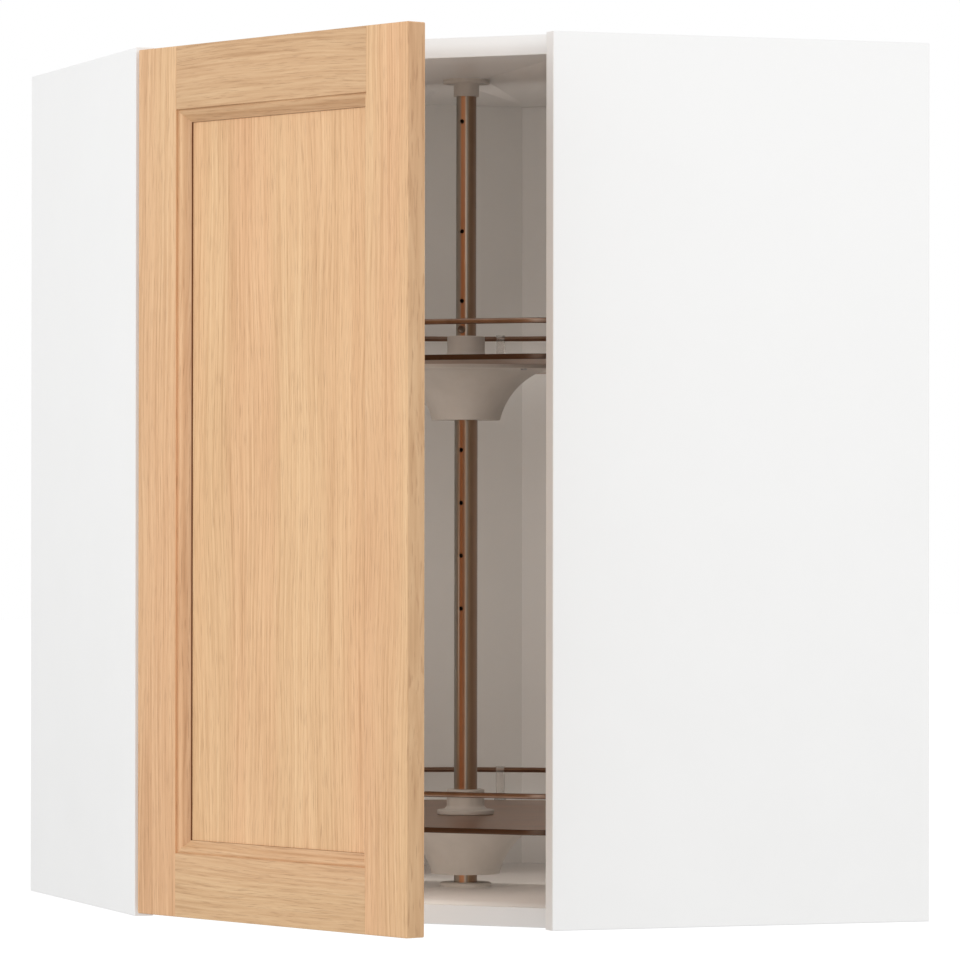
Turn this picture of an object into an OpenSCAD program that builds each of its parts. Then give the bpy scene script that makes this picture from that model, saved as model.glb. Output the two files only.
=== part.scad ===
/* [Cabinet] */
// Length of the cabinet along each wall
cab_w = 665; // [600:1:750]
// Height of the cabinet
cab_h = 800; // [600:1:1000]
// Thickness of the side, top, bottom and corner boards
board_t = 18; // [15:0.5:19]
// Depth of the side panels out from the wall
side_depth = 366; // [350:1:370]
// Setback of the top and bottom panels behind the front corners
front_setback = 16.3; // [14:0.1:20]
// Space behind the back panels
back_space = 15; // [12:0.5:20]
// Thickness of the back panels
back_t = 4; // [3:0.5:6]
// Depth of the grooves that hold the back panels
groove_depth = 8; // [5:0.5:10]
// Length that the corner panel cuts off each back panel
corner_leg = 142; // [120:1:160]
/* [Panel fittings] */
// Diameter of the wooden dowels
dowel_d = 8; // [6:0.5:10]
// Length of the wooden dowels
dowel_len = 30; // [24:1:34]
// Distance of the dowels from the ends of a joint
dowel_inset = 70; // [60:1:90]
// Diameter of the cam locks
cam_d = 15; // [12:0.5:16]
// Depth of the cam locks
cam_depth = 12.5; // [11:0.5:13.5]
// Distance of the cam locks from the ends of a joint
cam_inset = 105; // [100:1:130]
// Distance of a cam lock's centre from the side panel
cam_reach = 24; // [22:0.5:30]
// Height of the hanging brackets
bracket_h = 40; // [34:1:60]
// Reach of the hanging brackets along the side panels
bracket_reach = 45; // [40:1:70]
// Width of a hanging bracket's wall flange
bracket_flange = 30; // [26:1:40]
// Thickness of the hanging brackets
bracket_t = 2.5; // [2:0.5:4]
// Diameter of the bolt hole in a hanging bracket
bracket_hole_d = 8.5; // [6:0.5:10]
// Distance of the hanging brackets below the top of the cabinet
bracket_drop = 20; // [20:1:60]
/* [Door] */
// Gap between the door's edges and the front corners of the side panels
door_side_gap = 1.2; // [1:0.1:3]
// Gap above and below the door
door_gap_z = 3; // [2:0.5:5]
// Thickness of the door
door_t = 20; // [18:0.5:22]
// Gap between the door and the front edges of the top and bottom panels
door_gap = 1.5; // [1:0.1:2]
// Flat width of the stiles and rails
frame_w = 58; // [50:1:70]
// Width of the moulding round the centre panel
moulding_w = 12; // [10:1:16]
// Depth of the centre panel's face behind the face of the frame
panel_recess = 9.5; // [8:0.5:12]
// Thickness of the centre panel
panel_t = 6; // [5:0.5:7]
// Angle by which the door stands open
door_open = 25.2; // [0:0.1:60]
/* [Hinges] */
// Distance of the door's turning axis behind the side panel's front edge
axis_back = 26.2; // [26:0.1:27]
// Distance of the door's turning axis outward from the side panel's inner face
axis_out = 15.1; // [14.5:0.1:15.5]
// Distance of the lower hinge from the underside of the cabinet
hinge_low = 100; // [90:1:160]
// Distance of the upper hinge from the top of the cabinet
hinge_high = 100; // [90:1:160]
// Diameter of the hinge cups
cup_d = 35; // [34:0.5:35]
// Depth of the hinge cups
cup_depth = 12; // [11:0.5:12.5]
// Distance of a cup's centre from the door's edge
cup_inset = 22.5; // [22:0.5:24]
// Thickness of the hinge plates
plate_t = 3; // [2:0.5:3]
// Height of the hinge plates
plate_h = 50; // [45:1:60]
/* [Carousel] */
// Distance of the carousel's axis behind the middle of the square cabinet
axis_setback = 6.3; // [0:0.1:8]
// Radius of the trays
tray_r = 275; // [240:1:276]
// Distance of a tray's straight front edge from the axis
tray_front = 214; // [190:1:216]
// Radius of a tray's front corners
tray_corner_r = 40; // [30:1:60]
// Thickness of the trays
tray_t = 5; // [4:0.5:8]
// Height of the lower tray's underside
tray_low = 81; // [78:1:120]
// Height of the upper tray's underside
tray_high = 510; // [420:1:530]
// Diameter of the rail's rod
rail_d = 5; // [4:0.5:6]
// Height of the rail's centre above the tray
rail_rise = 30; // [24:1:50]
// Width of the posts that carry the rail
rail_post_w = 8; // [8:0.5:14]
// Diameter of a bowl's rim under the tray
bowl_rim_d = 206; // [200:1:240]
// Thickness of a bowl's rim
bowl_rim_t = 3.7; // [3:0.1:6]
// Depth of a bowl under the tray
bowl_depth = 50.6; // [48:0.1:56]
// Radius of the bowl's concave side
bowl_side_r = 66.2; // [60:0.1:68]
// Wall of the bowls
bowl_wall = 2.5; // [2:0.1:3]
// Diameter of a hub's flange
hub_flange_d = 54; // [46:1:70]
// Diameter of a hub's neck
hub_neck_d = 35.6; // [30:0.1:40]
// Height of a hub above the tray
hub_h = 24; // [20:1:28]
// Length of a hub's sleeve under the tray
hub_drop = 22; // [18:0.5:26]
/* [Post] */
// Diameter of the lower tube
tube_low_d = 22; // [20:0.5:25]
// Wall of the tubes
tube_wall = 1.4; // [1:0.1:2]
// Height of the joint between the two upper tubes
tube_joint_z = 609; // [580:1:650]
// Diameter of the holes in the post
tube_hole_d = 4.2; // [4:0.1:5]
// Height of the lowest adjusting hole
tube_hole_z = 281; // [240:1:290]
// Spacing of the adjusting holes
tube_hole_pitch = 50; // [30:1:50]
// Diameter of the foot
foot_d = 49; // [46:1:60]
// Thickness of the foot
foot_t = 4; // [3:0.5:6]
// Diameter of the top bearing's flange
bearing_flange_d = 44; // [42:1:60]
// Diameter of the top bearing's collar
bearing_collar_d = 24; // [23:0.5:26]
// Length of the top bearing below the top panel
bearing_len = 16; // [12:1:24]
/* [Hidden] */
$fn = 96;
fit = 0.2; // clearance between pieces that are fixed together
running = 0.08; // radial clearance of the hubs on the post
seat = 0.3; // clearance under a turning hub
white = [0.95, 0.95, 0.94];
oak = [0.87, 0.71, 0.53];
steel = [0.72, 0.72, 0.74];
brown_metal = [0.42, 0.30, 0.22];
plastic = [0.72, 0.71, 0.70];
clear = [0.85, 0.85, 0.85];
// The cabinet's own pieces are drawn about its middle, with the walls at x = -half and y = half,
// and cabinet_place() moves them so that the axis of the carousel is the origin.
half = cab_w / 2;
inner = half - board_t;
side_front = side_depth - half;
door_w = sqrt(2) * (inner - side_front) - 2 * door_side_gap;
front_corner_d = (side_front + inner) / sqrt(2);
panel_front_d = front_corner_d - front_setback;
panel_front_x = panel_front_d * sqrt(2) - inner;
back_inner = half - back_space;
corner_inner_d = (2 * back_inner - corner_leg) / sqrt(2);
corner_outer_d = corner_inner_d + board_t;
corner_wall_y = corner_outer_d * sqrt(2) - half;
ceiling = cab_h - board_t;
// The axis of the door, the closed door's inner face and its lowest point
axis_x = side_front - axis_back;
axis_y = -inner - axis_out;
door_in = panel_front_d + door_gap;
door_h = cab_h - 2 * door_gap_z;
hinge_heights = [hinge_low, cab_h - hinge_high];
// The post
tube_low_r = tube_low_d / 2;
tube_bore_r = tube_low_r - tube_wall;
tube_up_r = tube_bore_r - 0.1;
tube_up_bore_r = tube_up_r - tube_wall;
tube_overlap = 32;
foot_top = board_t + foot_t;
tube_low_top = tray_high + tray_t + hub_h - 8;
collar_h = 14;
collar_r = tube_low_r + 6;
tube_hole_count = 4;
upper_hole_list = [ceiling - 40, ceiling - 144, tube_joint_z - 37];
clamp_z = tray_high + tray_t + hub_h + 6;
rail_post_angles = [52, 107, 161.9];

// Turns a piece so that its x axis points out of the front and its y axis to the right.
module facing_front() {
  rotate([0, 0, -45]) children();
}

// Moves the cabinet so that the carousel's axis, which is the origin, lies behind its middle.
module cabinet_place() {
  facing_front() translate([axis_setback, 0, 0]) rotate([0, 0, 45]) children();
}

// Mirrors a left-hand piece into its right-hand twin.
module other_side() {
  mirror([1, 1, 0]) children();
}

// A bar along any axis, from its start, with its length and radius.
module rod(start, turn, length, r) {
  translate(start) rotate(turn) cylinder(h = length, r = r);
}

module ring(z0, z1, r_out, r_in) {
  difference() {
    translate([0, 0, z0]) cylinder(h = z1 - z0, r = r_out);
    translate([0, 0, z0 - 1]) cylinder(h = z1 - z0 + 2, r = r_in);
  }
}

// A countersunk screw whose head's face lies at z = 0 and whose shank points down.
module countersunk_screw(head_r, shank_r, length) {
  translate([0, 0, -head_r + shank_r]) cylinder(h = head_r - shank_r, r1 = shank_r, r2 = head_r);
  translate([0, 0, -length]) cylinder(h = length - head_r + shank_r, r = shank_r);
}

// Carcass

// Distances of a joint's dowels or bolts from the wall along a side panel.
function along_joint(inset) = [inset, half + panel_front_x - inset];

// Heights of the middles of the bottom and top panels.
joint_heights = [board_t / 2, cab_h - board_t / 2];

module joint_rods(start_y, length, r, inset) {
  for (reach = along_joint(inset))
    for (z = joint_heights)
      rod([reach - half, start_y, z], [-90, 0, 0], length, r);
}

side_bore_depth = 12;
module dowel_holes() {
  joint_rods(-inner - side_bore_depth, dowel_len + fit, dowel_d / 2, dowel_inset);
}

module bolt_holes() {
  joint_rods(-inner - side_bore_depth, side_bore_depth + cam_reach, 4, cam_inset);
}

module groove(length_y0, length_y1, z0, z1) {
  translate([-back_inner - back_t - seat, length_y0, z0])
    cube([back_t + seat, length_y1 - length_y0, z1 - z0]);
}

back_y0 = -inner - groove_depth;
back_y1 = back_inner - corner_leg + groove_depth;
back_z0 = board_t - groove_depth;
back_z1 = ceiling + groove_depth;

module side_panel() {
  difference() {
    translate([-half, -half, 0]) cube([side_depth, board_t, cab_h]);
    groove(back_y0 - seat, back_y1, back_z0 - seat, back_z1 + seat);
    dowel_holes();
    bolt_holes();
    bracket_bores();
    plate_bores();
  }
}

module left_side_panel() {
  color(white) cabinet_place() side_panel();
}

module right_side_panel() {
  color(white) cabinet_place() other_side() difference() {
    translate([-half, -half, 0]) cube([side_depth, board_t, cab_h]);
    groove(back_y0 - seat, back_y1, back_z0 - seat, back_z1 + seat);
    dowel_holes();
    bolt_holes();
    bracket_bores();
  }
}

module floor_board(z) {
  translate([0, 0, z]) linear_extrude(board_t)
    polygon([[panel_front_x, -inner], [-half, -inner], [-half, corner_wall_y],
      [-corner_wall_y, half], [inner, half], [inner, -panel_front_x]]);
}

module both_sides() {
  children();
  other_side() children();
}

module cam_bores(z) {
  for (reach = along_joint(cam_inset))
    translate([reach - half, -inner + cam_reach, z]) cylinder(h = cam_depth + 1, d = cam_d);
}

screw_bore_r = 1.6;
module pilot_bores(radius, z, length) {
  facing_front() for (side = [-1, 1])
    translate([0, side * radius, z]) cylinder(h = length, r = screw_bore_r);
}

foot_screw_at = (foot_d / 2 + tube_low_r) / 2;
bearing_screw_at = (bearing_flange_d / 2 + bearing_collar_d / 2) / 2;

module top_panel() {
  color(white) difference() {
    cabinet_place() floor_board(ceiling);
    cabinet_place() both_sides() {
      groove(back_y0 - seat, back_y1 + seat, back_z0, back_z1 + seat);
      dowel_holes();
      bolt_holes();
      cam_bores(cab_h - cam_depth);
    }
    pilot_bores(bearing_screw_at, ceiling - 1, 13);
  }
}

module bottom_panel() {
  color(white) difference() {
    cabinet_place() floor_board(0);
    cabinet_place() both_sides() {
      groove(back_y0 - seat, back_y1 + seat, back_z0 - seat, back_z1);
      dowel_holes();
      bolt_holes();
      cam_bores(-1);
    }
    pilot_bores(foot_screw_at, board_t - 12, 13);
  }
}

// Each back is a full-width sheet with a shorter strip above it, which leaves the upper corner free
// for the wall bolt behind the bracket's flange
bolt_space_down = 16;
bolt_space_side = 8;
strip_joint = 0.05;
module back_panel() {
  strip_y0 = bracket_bolt_y + bolt_space_side;
  strip_z0 = bracket_bolt_z - bolt_space_down;
  translate([-back_inner - back_t, back_y0, back_z0])
    cube([back_t, back_y1 - back_y0, strip_z0 - strip_joint - back_z0]);
  translate([-back_inner - back_t, strip_y0, strip_z0])
    cube([back_t, back_y1 - strip_y0, back_z1 - strip_z0]);
}

module left_back_panel() {
  color(white) cabinet_place() back_panel();
}

module right_back_panel() {
  color(white) cabinet_place() other_side() back_panel();
}

module corner_panel() {
  corner_face_y = corner_inner_d * sqrt(2) - half;
  color(white) cabinet_place() difference() {
    translate([0, 0, board_t]) linear_extrude(ceiling - board_t)
      polygon([[-half, corner_face_y], [-corner_face_y, half], [-corner_wall_y, half],
        [-half, corner_wall_y]]);
    both_sides() groove(back_y0, back_y1 + seat, 0, cab_h);
  }
}

module panel_dowels() {
  color([0.80, 0.66, 0.46]) cabinet_place() both_sides()
    joint_rods(-inner - side_bore_depth + fit, dowel_len - fit, dowel_d / 2 - 0.05, dowel_inset);
}

module cam_locks() {
  color(steel) cabinet_place() both_sides() for (reach = along_joint(cam_inset))
    for (top = [0, 1])
      difference() {
        translate([reach - half, -inner + cam_reach, top * (cab_h - cam_depth)])
          cylinder(h = cam_depth, d = cam_d - fit);
        bolt_holes();
        translate([reach - half - 5, -inner + cam_reach - 1, top * cab_h - 1.5]) cube([10, 2, 3]);
      }
}

module cam_bolts() {
  color(steel) cabinet_place() both_sides()
    joint_rods(-inner - side_bore_depth + fit, side_bore_depth + cam_reach - 2 * fit, 3.6, cam_inset);
}

// Hanging brackets, in the upper back corners
bracket_top = cab_h - bracket_drop;
bracket_bolt_y = -inner + bracket_flange - 12;
bracket_bolt_z = bracket_top - bracket_h / 2;
bracket_screw_xs = [-back_inner + 18, -back_inner + bracket_reach - 9];

module bracket_bores() {
  for (x = bracket_screw_xs)
    rod([x, -inner - 12, bracket_bolt_z], [-90, 0, 0], 13, screw_bore_r);
}

module hanging_bracket() {
  difference() {
    union() {
      translate([-back_inner, -inner, bracket_top - bracket_h])
        cube([bracket_reach, bracket_t, bracket_h]);
      translate([-back_inner, -inner, bracket_top - bracket_h])
        cube([bracket_t, bracket_flange, bracket_h]);
    }
    rod([-half, bracket_bolt_y, bracket_bolt_z], [0, 90, 0], back_space + bracket_t + 1,
      bracket_hole_d / 2);
    for (x = bracket_screw_xs)
      rod([x, -inner - 1, bracket_bolt_z], [-90, 0, 0], bracket_t + 2, 1.8);
  }
}

module left_hanging_bracket() {
  color(steel) cabinet_place() hanging_bracket();
}

module right_hanging_bracket() {
  color(steel) cabinet_place() other_side() hanging_bracket();
}

module bracket_screws() {
  color(steel) cabinet_place() both_sides() for (x = bracket_screw_xs) {
    rod([x, -inner - 11, bracket_bolt_z], [-90, 0, 0], 11 + bracket_t + 1, screw_bore_r - 0.05);
    rod([x, -inner + bracket_t, bracket_bolt_z], [-90, 0, 0], 2, 3.5);
  }
}

// Hinges, on the left side panel
plate_setback = 63;
plate_x0 = side_front - plate_setback;
plate_len = 40;
plate_top_y = -inner + plate_t;
arm_foot_y = plate_top_y + 8.5;
arm_web_y = -inner + 20;
arm_half = 8;
arm_wall = 1.5;
arm_screw_x = side_front - 48;
plate_screw_dz = plate_h / 2 - 7;

module plate_bores() {
  for (z = hinge_heights)
    for (side = [-1, 1])
      rod([plate_x0 + plate_len / 2, -inner - 11, z + side * plate_screw_dz], [-90, 0, 0], 12,
        screw_bore_r);
}

module hinge_plate(z) {
  difference() {
    union() {
      translate([plate_x0, -inner, z - plate_h / 2]) cube([plate_len, plate_t, plate_h]);
      translate([plate_x0 + 3, plate_top_y, z - 6.5]) cube([plate_len - 8, 8.5, 13]);
    }
    for (side = [-1, 1])
      rod([plate_x0 + plate_len / 2, -inner - 1, z + side * plate_screw_dz], [-90, 0, 0],
        plate_t + 2, 1.8);
    rod([arm_screw_x, plate_top_y + 1, z], [-90, 0, 0], 10, 2.6);
  }
}

module upper_hinge_plate() {
  color(steel) cabinet_place() hinge_plate(hinge_heights[1]);
}

module lower_hinge_plate() {
  color(steel) cabinet_place() hinge_plate(hinge_heights[0]);
}

arm_x1 = side_front - 11.5;
arm_web_x1 = side_front - 22;
arm_pin_x = side_front - 13.5;
module hinge_arm(z) {
  difference() {
    union() {
      translate([plate_x0, arm_web_y, z - arm_half - arm_wall])
        cube([arm_web_x1 - plate_x0, 2, 2 * (arm_half + arm_wall)]);
      for (side = [-1, 1])
        translate([plate_x0, plate_top_y, z + side * (arm_half + arm_wall / 2) - arm_wall / 2])
          cube([arm_x1 - plate_x0, arm_web_y - plate_top_y, arm_wall]);
      translate([arm_pin_x, plate_top_y + 2, z - arm_half - arm_wall])
        cylinder(h = 2 * (arm_half + arm_wall), r = 1.5, $fn = 32);
    }
    rod([arm_screw_x, arm_foot_y, z], [-90, 0, 0], 20, 2.6);
  }
}

module upper_hinge_arm() {
  color(steel) cabinet_place() hinge_arm(hinge_heights[1]);
}

module lower_hinge_arm() {
  color(steel) cabinet_place() hinge_arm(hinge_heights[0]);
}

module hinge_plate_screws() {
  color(steel) cabinet_place() for (z = hinge_heights)
    for (side = [-1, 1]) {
      screw_x = plate_x0 + plate_len / 2;
      screw_z = z + side * plate_screw_dz;
      rod([screw_x, -inner - 10, screw_z], [-90, 0, 0], 10 + plate_t + 1, screw_bore_r - 0.05);
      rod([screw_x, plate_top_y, screw_z], [-90, 0, 0], 2, 3.5);
    }
}

module hinge_arm_screws() {
  color(steel) cabinet_place() for (z = hinge_heights) {
    rod([arm_screw_x, plate_top_y + 1.2, z], [-90, 0, 0], arm_web_y - plate_top_y + 1, 2.5);
    rod([arm_screw_x, arm_web_y + 2, z], [-90, 0, 0], 2, 4.5);
  }
}

// Door, modelled closed: x out of the front, y from the hinge edge, z from its lower edge

module door_place() {
  cabinet_place() translate([axis_x, axis_y, 0]) rotate([0, 0, -door_open])
    translate([-axis_x, -axis_y, 0])
      facing_front() translate([door_in, -door_w / 2, door_gap_z]) children();
}

groove_gap = 1;
// Section of the frame, from the outer edge (second number 0) to the moulding's lip
module frame_section() {
  face = door_t;
  edge = frame_w + moulding_w;
  floor_x = face - panel_recess;
  groove_u = frame_w + 3;
  cove_r = moulding_w - 4;
  polygon(concat([[0, 0], [face, 0], [face, frame_w], [face - 1.5, frame_w]],
    [for (a = [0 : 15 : 90]) [floor_x + 1.5 + cove_r * (1 - sin(a)) * (panel_recess - 4.5) / cove_r,
      frame_w + 2 + cove_r * (1 - cos(a))]],
    [[floor_x + 1.5, edge - 1], [floor_x + 0.5, edge], [floor_x, edge], [floor_x, groove_u],
      [floor_x - panel_t, groove_u], [floor_x - panel_t, edge], [0, edge]]));
}

module plan_cut(points) {
  translate([-1, 0, 0]) rotate([90, 0, 90]) linear_extrude(door_t + 2) polygon(points);
}

module stile() {
  f = frame_w;
  m = frame_w + moulding_w;
  intersection() {
    linear_extrude(door_h) frame_section();
    plan_cut([[-1, -1], [f, -1], [f, f], [m, m], [m, door_h - m], [f, door_h - f],
      [f, door_h + 1], [-1, door_h + 1]]);
  }
}

module rail() {
  f = frame_w;
  m = frame_w + moulding_w;
  intersection() {
    translate([0, door_w, 0]) rotate([90, 0, 0]) linear_extrude(door_w) frame_section();
    plan_cut([[f, -1], [door_w - f, -1], [door_w - f, f], [door_w - m, m], [m, m], [f, f]]);
  }
}

cup_z = [for (z = hinge_heights) z - door_gap_z];
cup_screw_y = cup_inset + 9.5;
cup_screw_dz = 22.5;
module hinge_stile() {
  color(oak) door_place() difference() {
    stile();
    for (z = cup_z) {
      rod([-1, cup_inset, z], [0, 90, 0], cup_depth + 1 + fit, cup_d / 2);
      for (side = [-1, 1])
        rod([-1, cup_screw_y, z + side * cup_screw_dz], [0, 90, 0], 11, screw_bore_r);
    }
  }
}

module free_stile() {
  color(oak) door_place() translate([0, door_w, 0]) mirror([0, 1, 0]) stile();
}

module door_bottom_rail() {
  color(oak) door_place() rail();
}

module door_top_rail() {
  color(oak) door_place() translate([0, 0, door_h]) mirror([0, 0, 1]) rail();
}

module door_centre_panel() {
  reach = frame_w + 3 + groove_gap;
  color(oak) door_place() translate([door_t - panel_recess - panel_t, reach, reach])
    cube([panel_t, door_w - 2 * reach, door_h - 2 * reach]);
}

flange_t = 1;
module hinge_cup(z) {
  door_place() difference() {
    union() {
      rod([0, cup_inset, z], [0, 90, 0], cup_depth, cup_d / 2 - 0.1);
      translate([-flange_t, cup_inset - 5, z - 27]) cube([flange_t, 20, 54]);
      rod([-flange_t, cup_inset, z], [0, 90, 0], flange_t, cup_d / 2 + 1.5);
    }
    rod([-2, cup_inset, z], [0, 90, 0], cup_depth + 1, cup_d / 2 - 2);
    for (side = [-1, 1])
      rod([-2, cup_screw_y, z + side * cup_screw_dz], [0, 90, 0], 4, 1.8);
  }
}

module upper_hinge_cup() {
  color(steel) hinge_cup(cup_z[1]);
}

module lower_hinge_cup() {
  color(steel) hinge_cup(cup_z[0]);
}

module hinge_cup_screws() {
  color(steel) door_place() for (z = cup_z)
    for (side = [-1, 1]) {
      rod([-flange_t - 0.2, cup_screw_y, z + side * cup_screw_dz], [0, 90, 0], 11,
        screw_bore_r - 0.05);
      rod([-flange_t - 1.4, cup_screw_y, z + side * cup_screw_dz], [0, 90, 0], 1.4, 3);
    }
}

// The link swings out of the cup past the front corner of the side panel
link_len = 31;
link_turn = -32.3;
link_half = 4;
module hinge_link(z) {
  door_place() translate([4.7, cup_inset, z]) {
    rotate([0, 0, link_turn]) translate([0, -link_len, -link_half]) {
      translate([-1.5, 0, 0]) cube([3, link_len, 2 * link_half]);
      cylinder(h = 2 * link_half, r = 1.5, $fn = 32);
    }
    translate([0, 0, -cup_d / 2 + 2 + fit]) cylinder(h = cup_d - 4 - 2 * fit, r = 2, $fn = 32);
  }
}

module upper_hinge_link() {
  color(steel) hinge_link(cup_z[1]);
}

module lower_hinge_link() {
  color(steel) hinge_link(cup_z[0]);
}

module door_bumpers() {
  color(clear) door_place() for (z = [10, door_h - 10])
    rod([-door_gap + 0.3, door_w - 30, z], [0, 90, 0], door_gap - 0.3, 4);
}

// Post of the carousel

module hole_rows(heights, r) {
  facing_front() for (z = heights)
    rod([-collar_r - 1, 0, z], [0, 90, 0], 2 * collar_r + 2, r);
}

adjust_heights = [for (i = [0 : tube_hole_count - 1]) tube_hole_z + i * tube_hole_pitch];
pin_heights = [for (z = [tray_low, tray_high]) z - hub_drop - seat - collar_h / 2];

module post_foot() {
  color(plastic) difference() {
    union() {
      translate([0, 0, board_t]) cylinder(h = foot_t - 1, d = foot_d);
      translate([0, 0, foot_top - 1]) cylinder(h = 1, d1 = foot_d, d2 = foot_d - 3);
      translate([0, 0, board_t]) cylinder(h = foot_t + 16, r = tube_bore_r - 0.1);
    }
    facing_front() for (side = [-1, 1])
      translate([0, side * foot_screw_at, board_t - 1]) cylinder(h = foot_t + 2, r = 1.8);
    facing_front() for (side = [-1, 1])
      translate([0, side * foot_screw_at, foot_top - 2]) cylinder(h = 3, r1 = 1.8, r2 = 4.8);
  }
}

module foot_screws() {
  color(steel) facing_front() for (side = [-1, 1])
    translate([0, side * foot_screw_at, foot_top]) countersunk_screw(3.4, screw_bore_r - 0.05, 14);
}

module post_lower_tube() {
  color(brown_metal) difference() {
    ring(foot_top, tube_low_top, tube_low_r, tube_bore_r);
    hole_rows(concat(adjust_heights, pin_heights), tube_hole_d / 2);
  }
}

tube_top_z = ceiling - 6;
module post_upper_tube() {
  color(brown_metal) difference() {
    ring(tube_low_top - tube_overlap, tube_joint_z, tube_up_r, tube_up_bore_r);
    hole_rows([upper_hole_list[2]], tube_hole_d / 2);
    hole_rows([clamp_z], 2.1);
  }
}

module post_top_tube() {
  color(brown_metal) difference() {
    ring(tube_joint_z, tube_top_z, tube_up_r, tube_up_bore_r);
    hole_rows([upper_hole_list[0], upper_hole_list[1]], tube_hole_d / 2);
  }
}

module post_joint_sleeve() {
  color(steel) ring(tube_joint_z - 20, tube_joint_z + 20, tube_up_bore_r - 0.05, tube_up_bore_r - 1.5);
}

module post_clamp_screw() {
  color(steel) facing_front() {
    rod([-tube_up_r - 0.5, 0, clamp_z], [0, 90, 0], 2 * tube_up_r + 1.5, 2);
    difference() {
      rod([tube_up_r, 0, clamp_z], [0, 90, 0], 1.8, 3.6);
      for (turn = [0, 90])
        translate([tube_up_r + 1.4, 0, clamp_z]) rotate([turn, 0, 0]) cube([1.4, 0.8, 4], center = true);
    }
  }
}

module top_bearing() {
  color(plastic) difference() {
    union() {
      translate([0, 0, ceiling - 4]) cylinder(h = 4, d = bearing_flange_d);
      translate([0, 0, ceiling - bearing_len]) cylinder(h = bearing_len - 1, d = bearing_collar_d);
    }
    translate([0, 0, ceiling - bearing_len - 1]) cylinder(h = bearing_len - 3, r = tube_up_r + 0.1);
    facing_front() for (side = [-1, 1])
      translate([0, side * bearing_screw_at, ceiling - 5]) cylinder(h = 6, r = 1.8);
    facing_front() for (side = [-1, 1])
      translate([0, side * bearing_screw_at, ceiling - 5]) cylinder(h = 3, r1 = 4.8, r2 = 1.8);
  }
}

module bearing_screws() {
  color(steel) facing_front() for (side = [-1, 1])
    translate([0, side * bearing_screw_at, ceiling - 4]) mirror([0, 0, 1])
      countersunk_screw(3.4, screw_bore_r - 0.05, 14);
}

module support_collar(pin_z) {
  difference() {
    ring(pin_z - collar_h / 2, pin_z + collar_h / 2, collar_r, tube_low_r + 0.05);
    hole_rows([pin_z], 2.05);
  }
}

module lower_support_collar() {
  color(plastic) support_collar(pin_heights[0]);
}

module upper_support_collar() {
  color(plastic) support_collar(pin_heights[1]);
}

module support_pins() {
  color(steel) facing_front() for (z = pin_heights)
    rod([-collar_r, 0, z], [0, 90, 0], 2 * collar_r, 2);
}

// Turning trays

corner_x = tray_front - tray_corner_r;
corner_y = sqrt(pow(tray_r - tray_corner_r, 2) - pow(corner_x, 2));
corner_a = atan2(corner_y, corner_x);
rail_inset = 3;

// A round plate with a straight front and rounded corners
module d_plate(z, height) {
  far = 2 * tray_r;
  facing_front() translate([0, 0, z]) {
    difference() {
      cylinder(h = height, r = tray_r, $fn = 240);
      translate([0, 0, -1]) linear_extrude(height + 2)
        polygon([[0, 0], [far * cos(corner_a), -far * sin(corner_a)], [far, -far], [far, far],
          [far * cos(corner_a), far * sin(corner_a)]]);
    }
    linear_extrude(height)
      polygon([[0, 0], [corner_x, -corner_y], [tray_front, -corner_y], [tray_front, corner_y],
        [corner_x, corner_y]]);
    for (side = [-1, 1])
      translate([corner_x, side * corner_y, 0]) cylinder(h = height, r = tray_corner_r);
  }
}

bowl_screw_at = bowl_rim_d / 2 - 8;
module bowl_screw_places() {
  for (turn = [60, 180, 300])
    rotate([0, 0, turn - 45]) translate([bowl_screw_at, 0, 0]) children();
}

hub_sleeve_r = 14.5;
module tray(z) {
  difference() {
    d_plate(z, tray_t);
    translate([0, 0, z - 1]) cylinder(h = tray_t + 2, r = hub_sleeve_r + fit);
    bowl_screw_places() translate([0, 0, z - 1]) cylinder(h = tray_t, r = screw_bore_r);
    rail_post_places() translate([0, 0, z - 1]) cylinder(h = tray_t + 2, r = 2.1);
  }
}

side_centre_r = 96.8;
side_centre_z = 65.4;
// The space inside the concave side, grown outward by a wall
module inside_side(z, z0, z1, wall) {
  difference() {
    translate([0, 0, z + z0]) cylinder(h = z1 - z0, r = side_centre_r);
    rotate_extrude() translate([side_centre_r, z - side_centre_z]) circle(r = bowl_side_r + wall);
  }
}

module bowl(z) {
  difference() {
    union() {
      translate([0, 0, z - bowl_rim_t]) cylinder(h = bowl_rim_t, d = bowl_rim_d);
      inside_side(z, -bowl_depth, -bowl_rim_t, 0);
    }
    inside_side(z, -bowl_depth + bowl_wall, -bowl_rim_t, bowl_wall);
    translate([0, 0, z - bowl_rim_t - 1]) cylinder(h = bowl_rim_t + 2, r = hub_sleeve_r + fit);
    translate([0, 0, z - bowl_depth - 1]) cylinder(h = bowl_wall + 2, r = tube_low_r + 0.6);
    bowl_screw_places() translate([0, 0, z - bowl_rim_t - 1]) cylinder(h = bowl_rim_t + 2, r = 1.8);
  }
}

module hub(z) {
  base = z + tray_t;
  flange_r = hub_flange_d / 2;
  neck_r = hub_neck_d / 2;
  bore_r = tube_low_r + running;
  rotate_extrude() polygon([[bore_r, z - hub_drop], [hub_sleeve_r, z - hub_drop],
    [hub_sleeve_r, base], [flange_r - 1, base], [flange_r, base + 1], [flange_r, base + 4.5],
    [flange_r - 1.5, base + 6.3], [flange_r - 4.5, base + 6.8], [neck_r + 1.5, base + 8.5],
    [neck_r, base + 11.5], [neck_r, base + hub_h - 1.5], [neck_r - 1.5, base + hub_h],
    [bore_r, base + hub_h]]);
}

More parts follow.
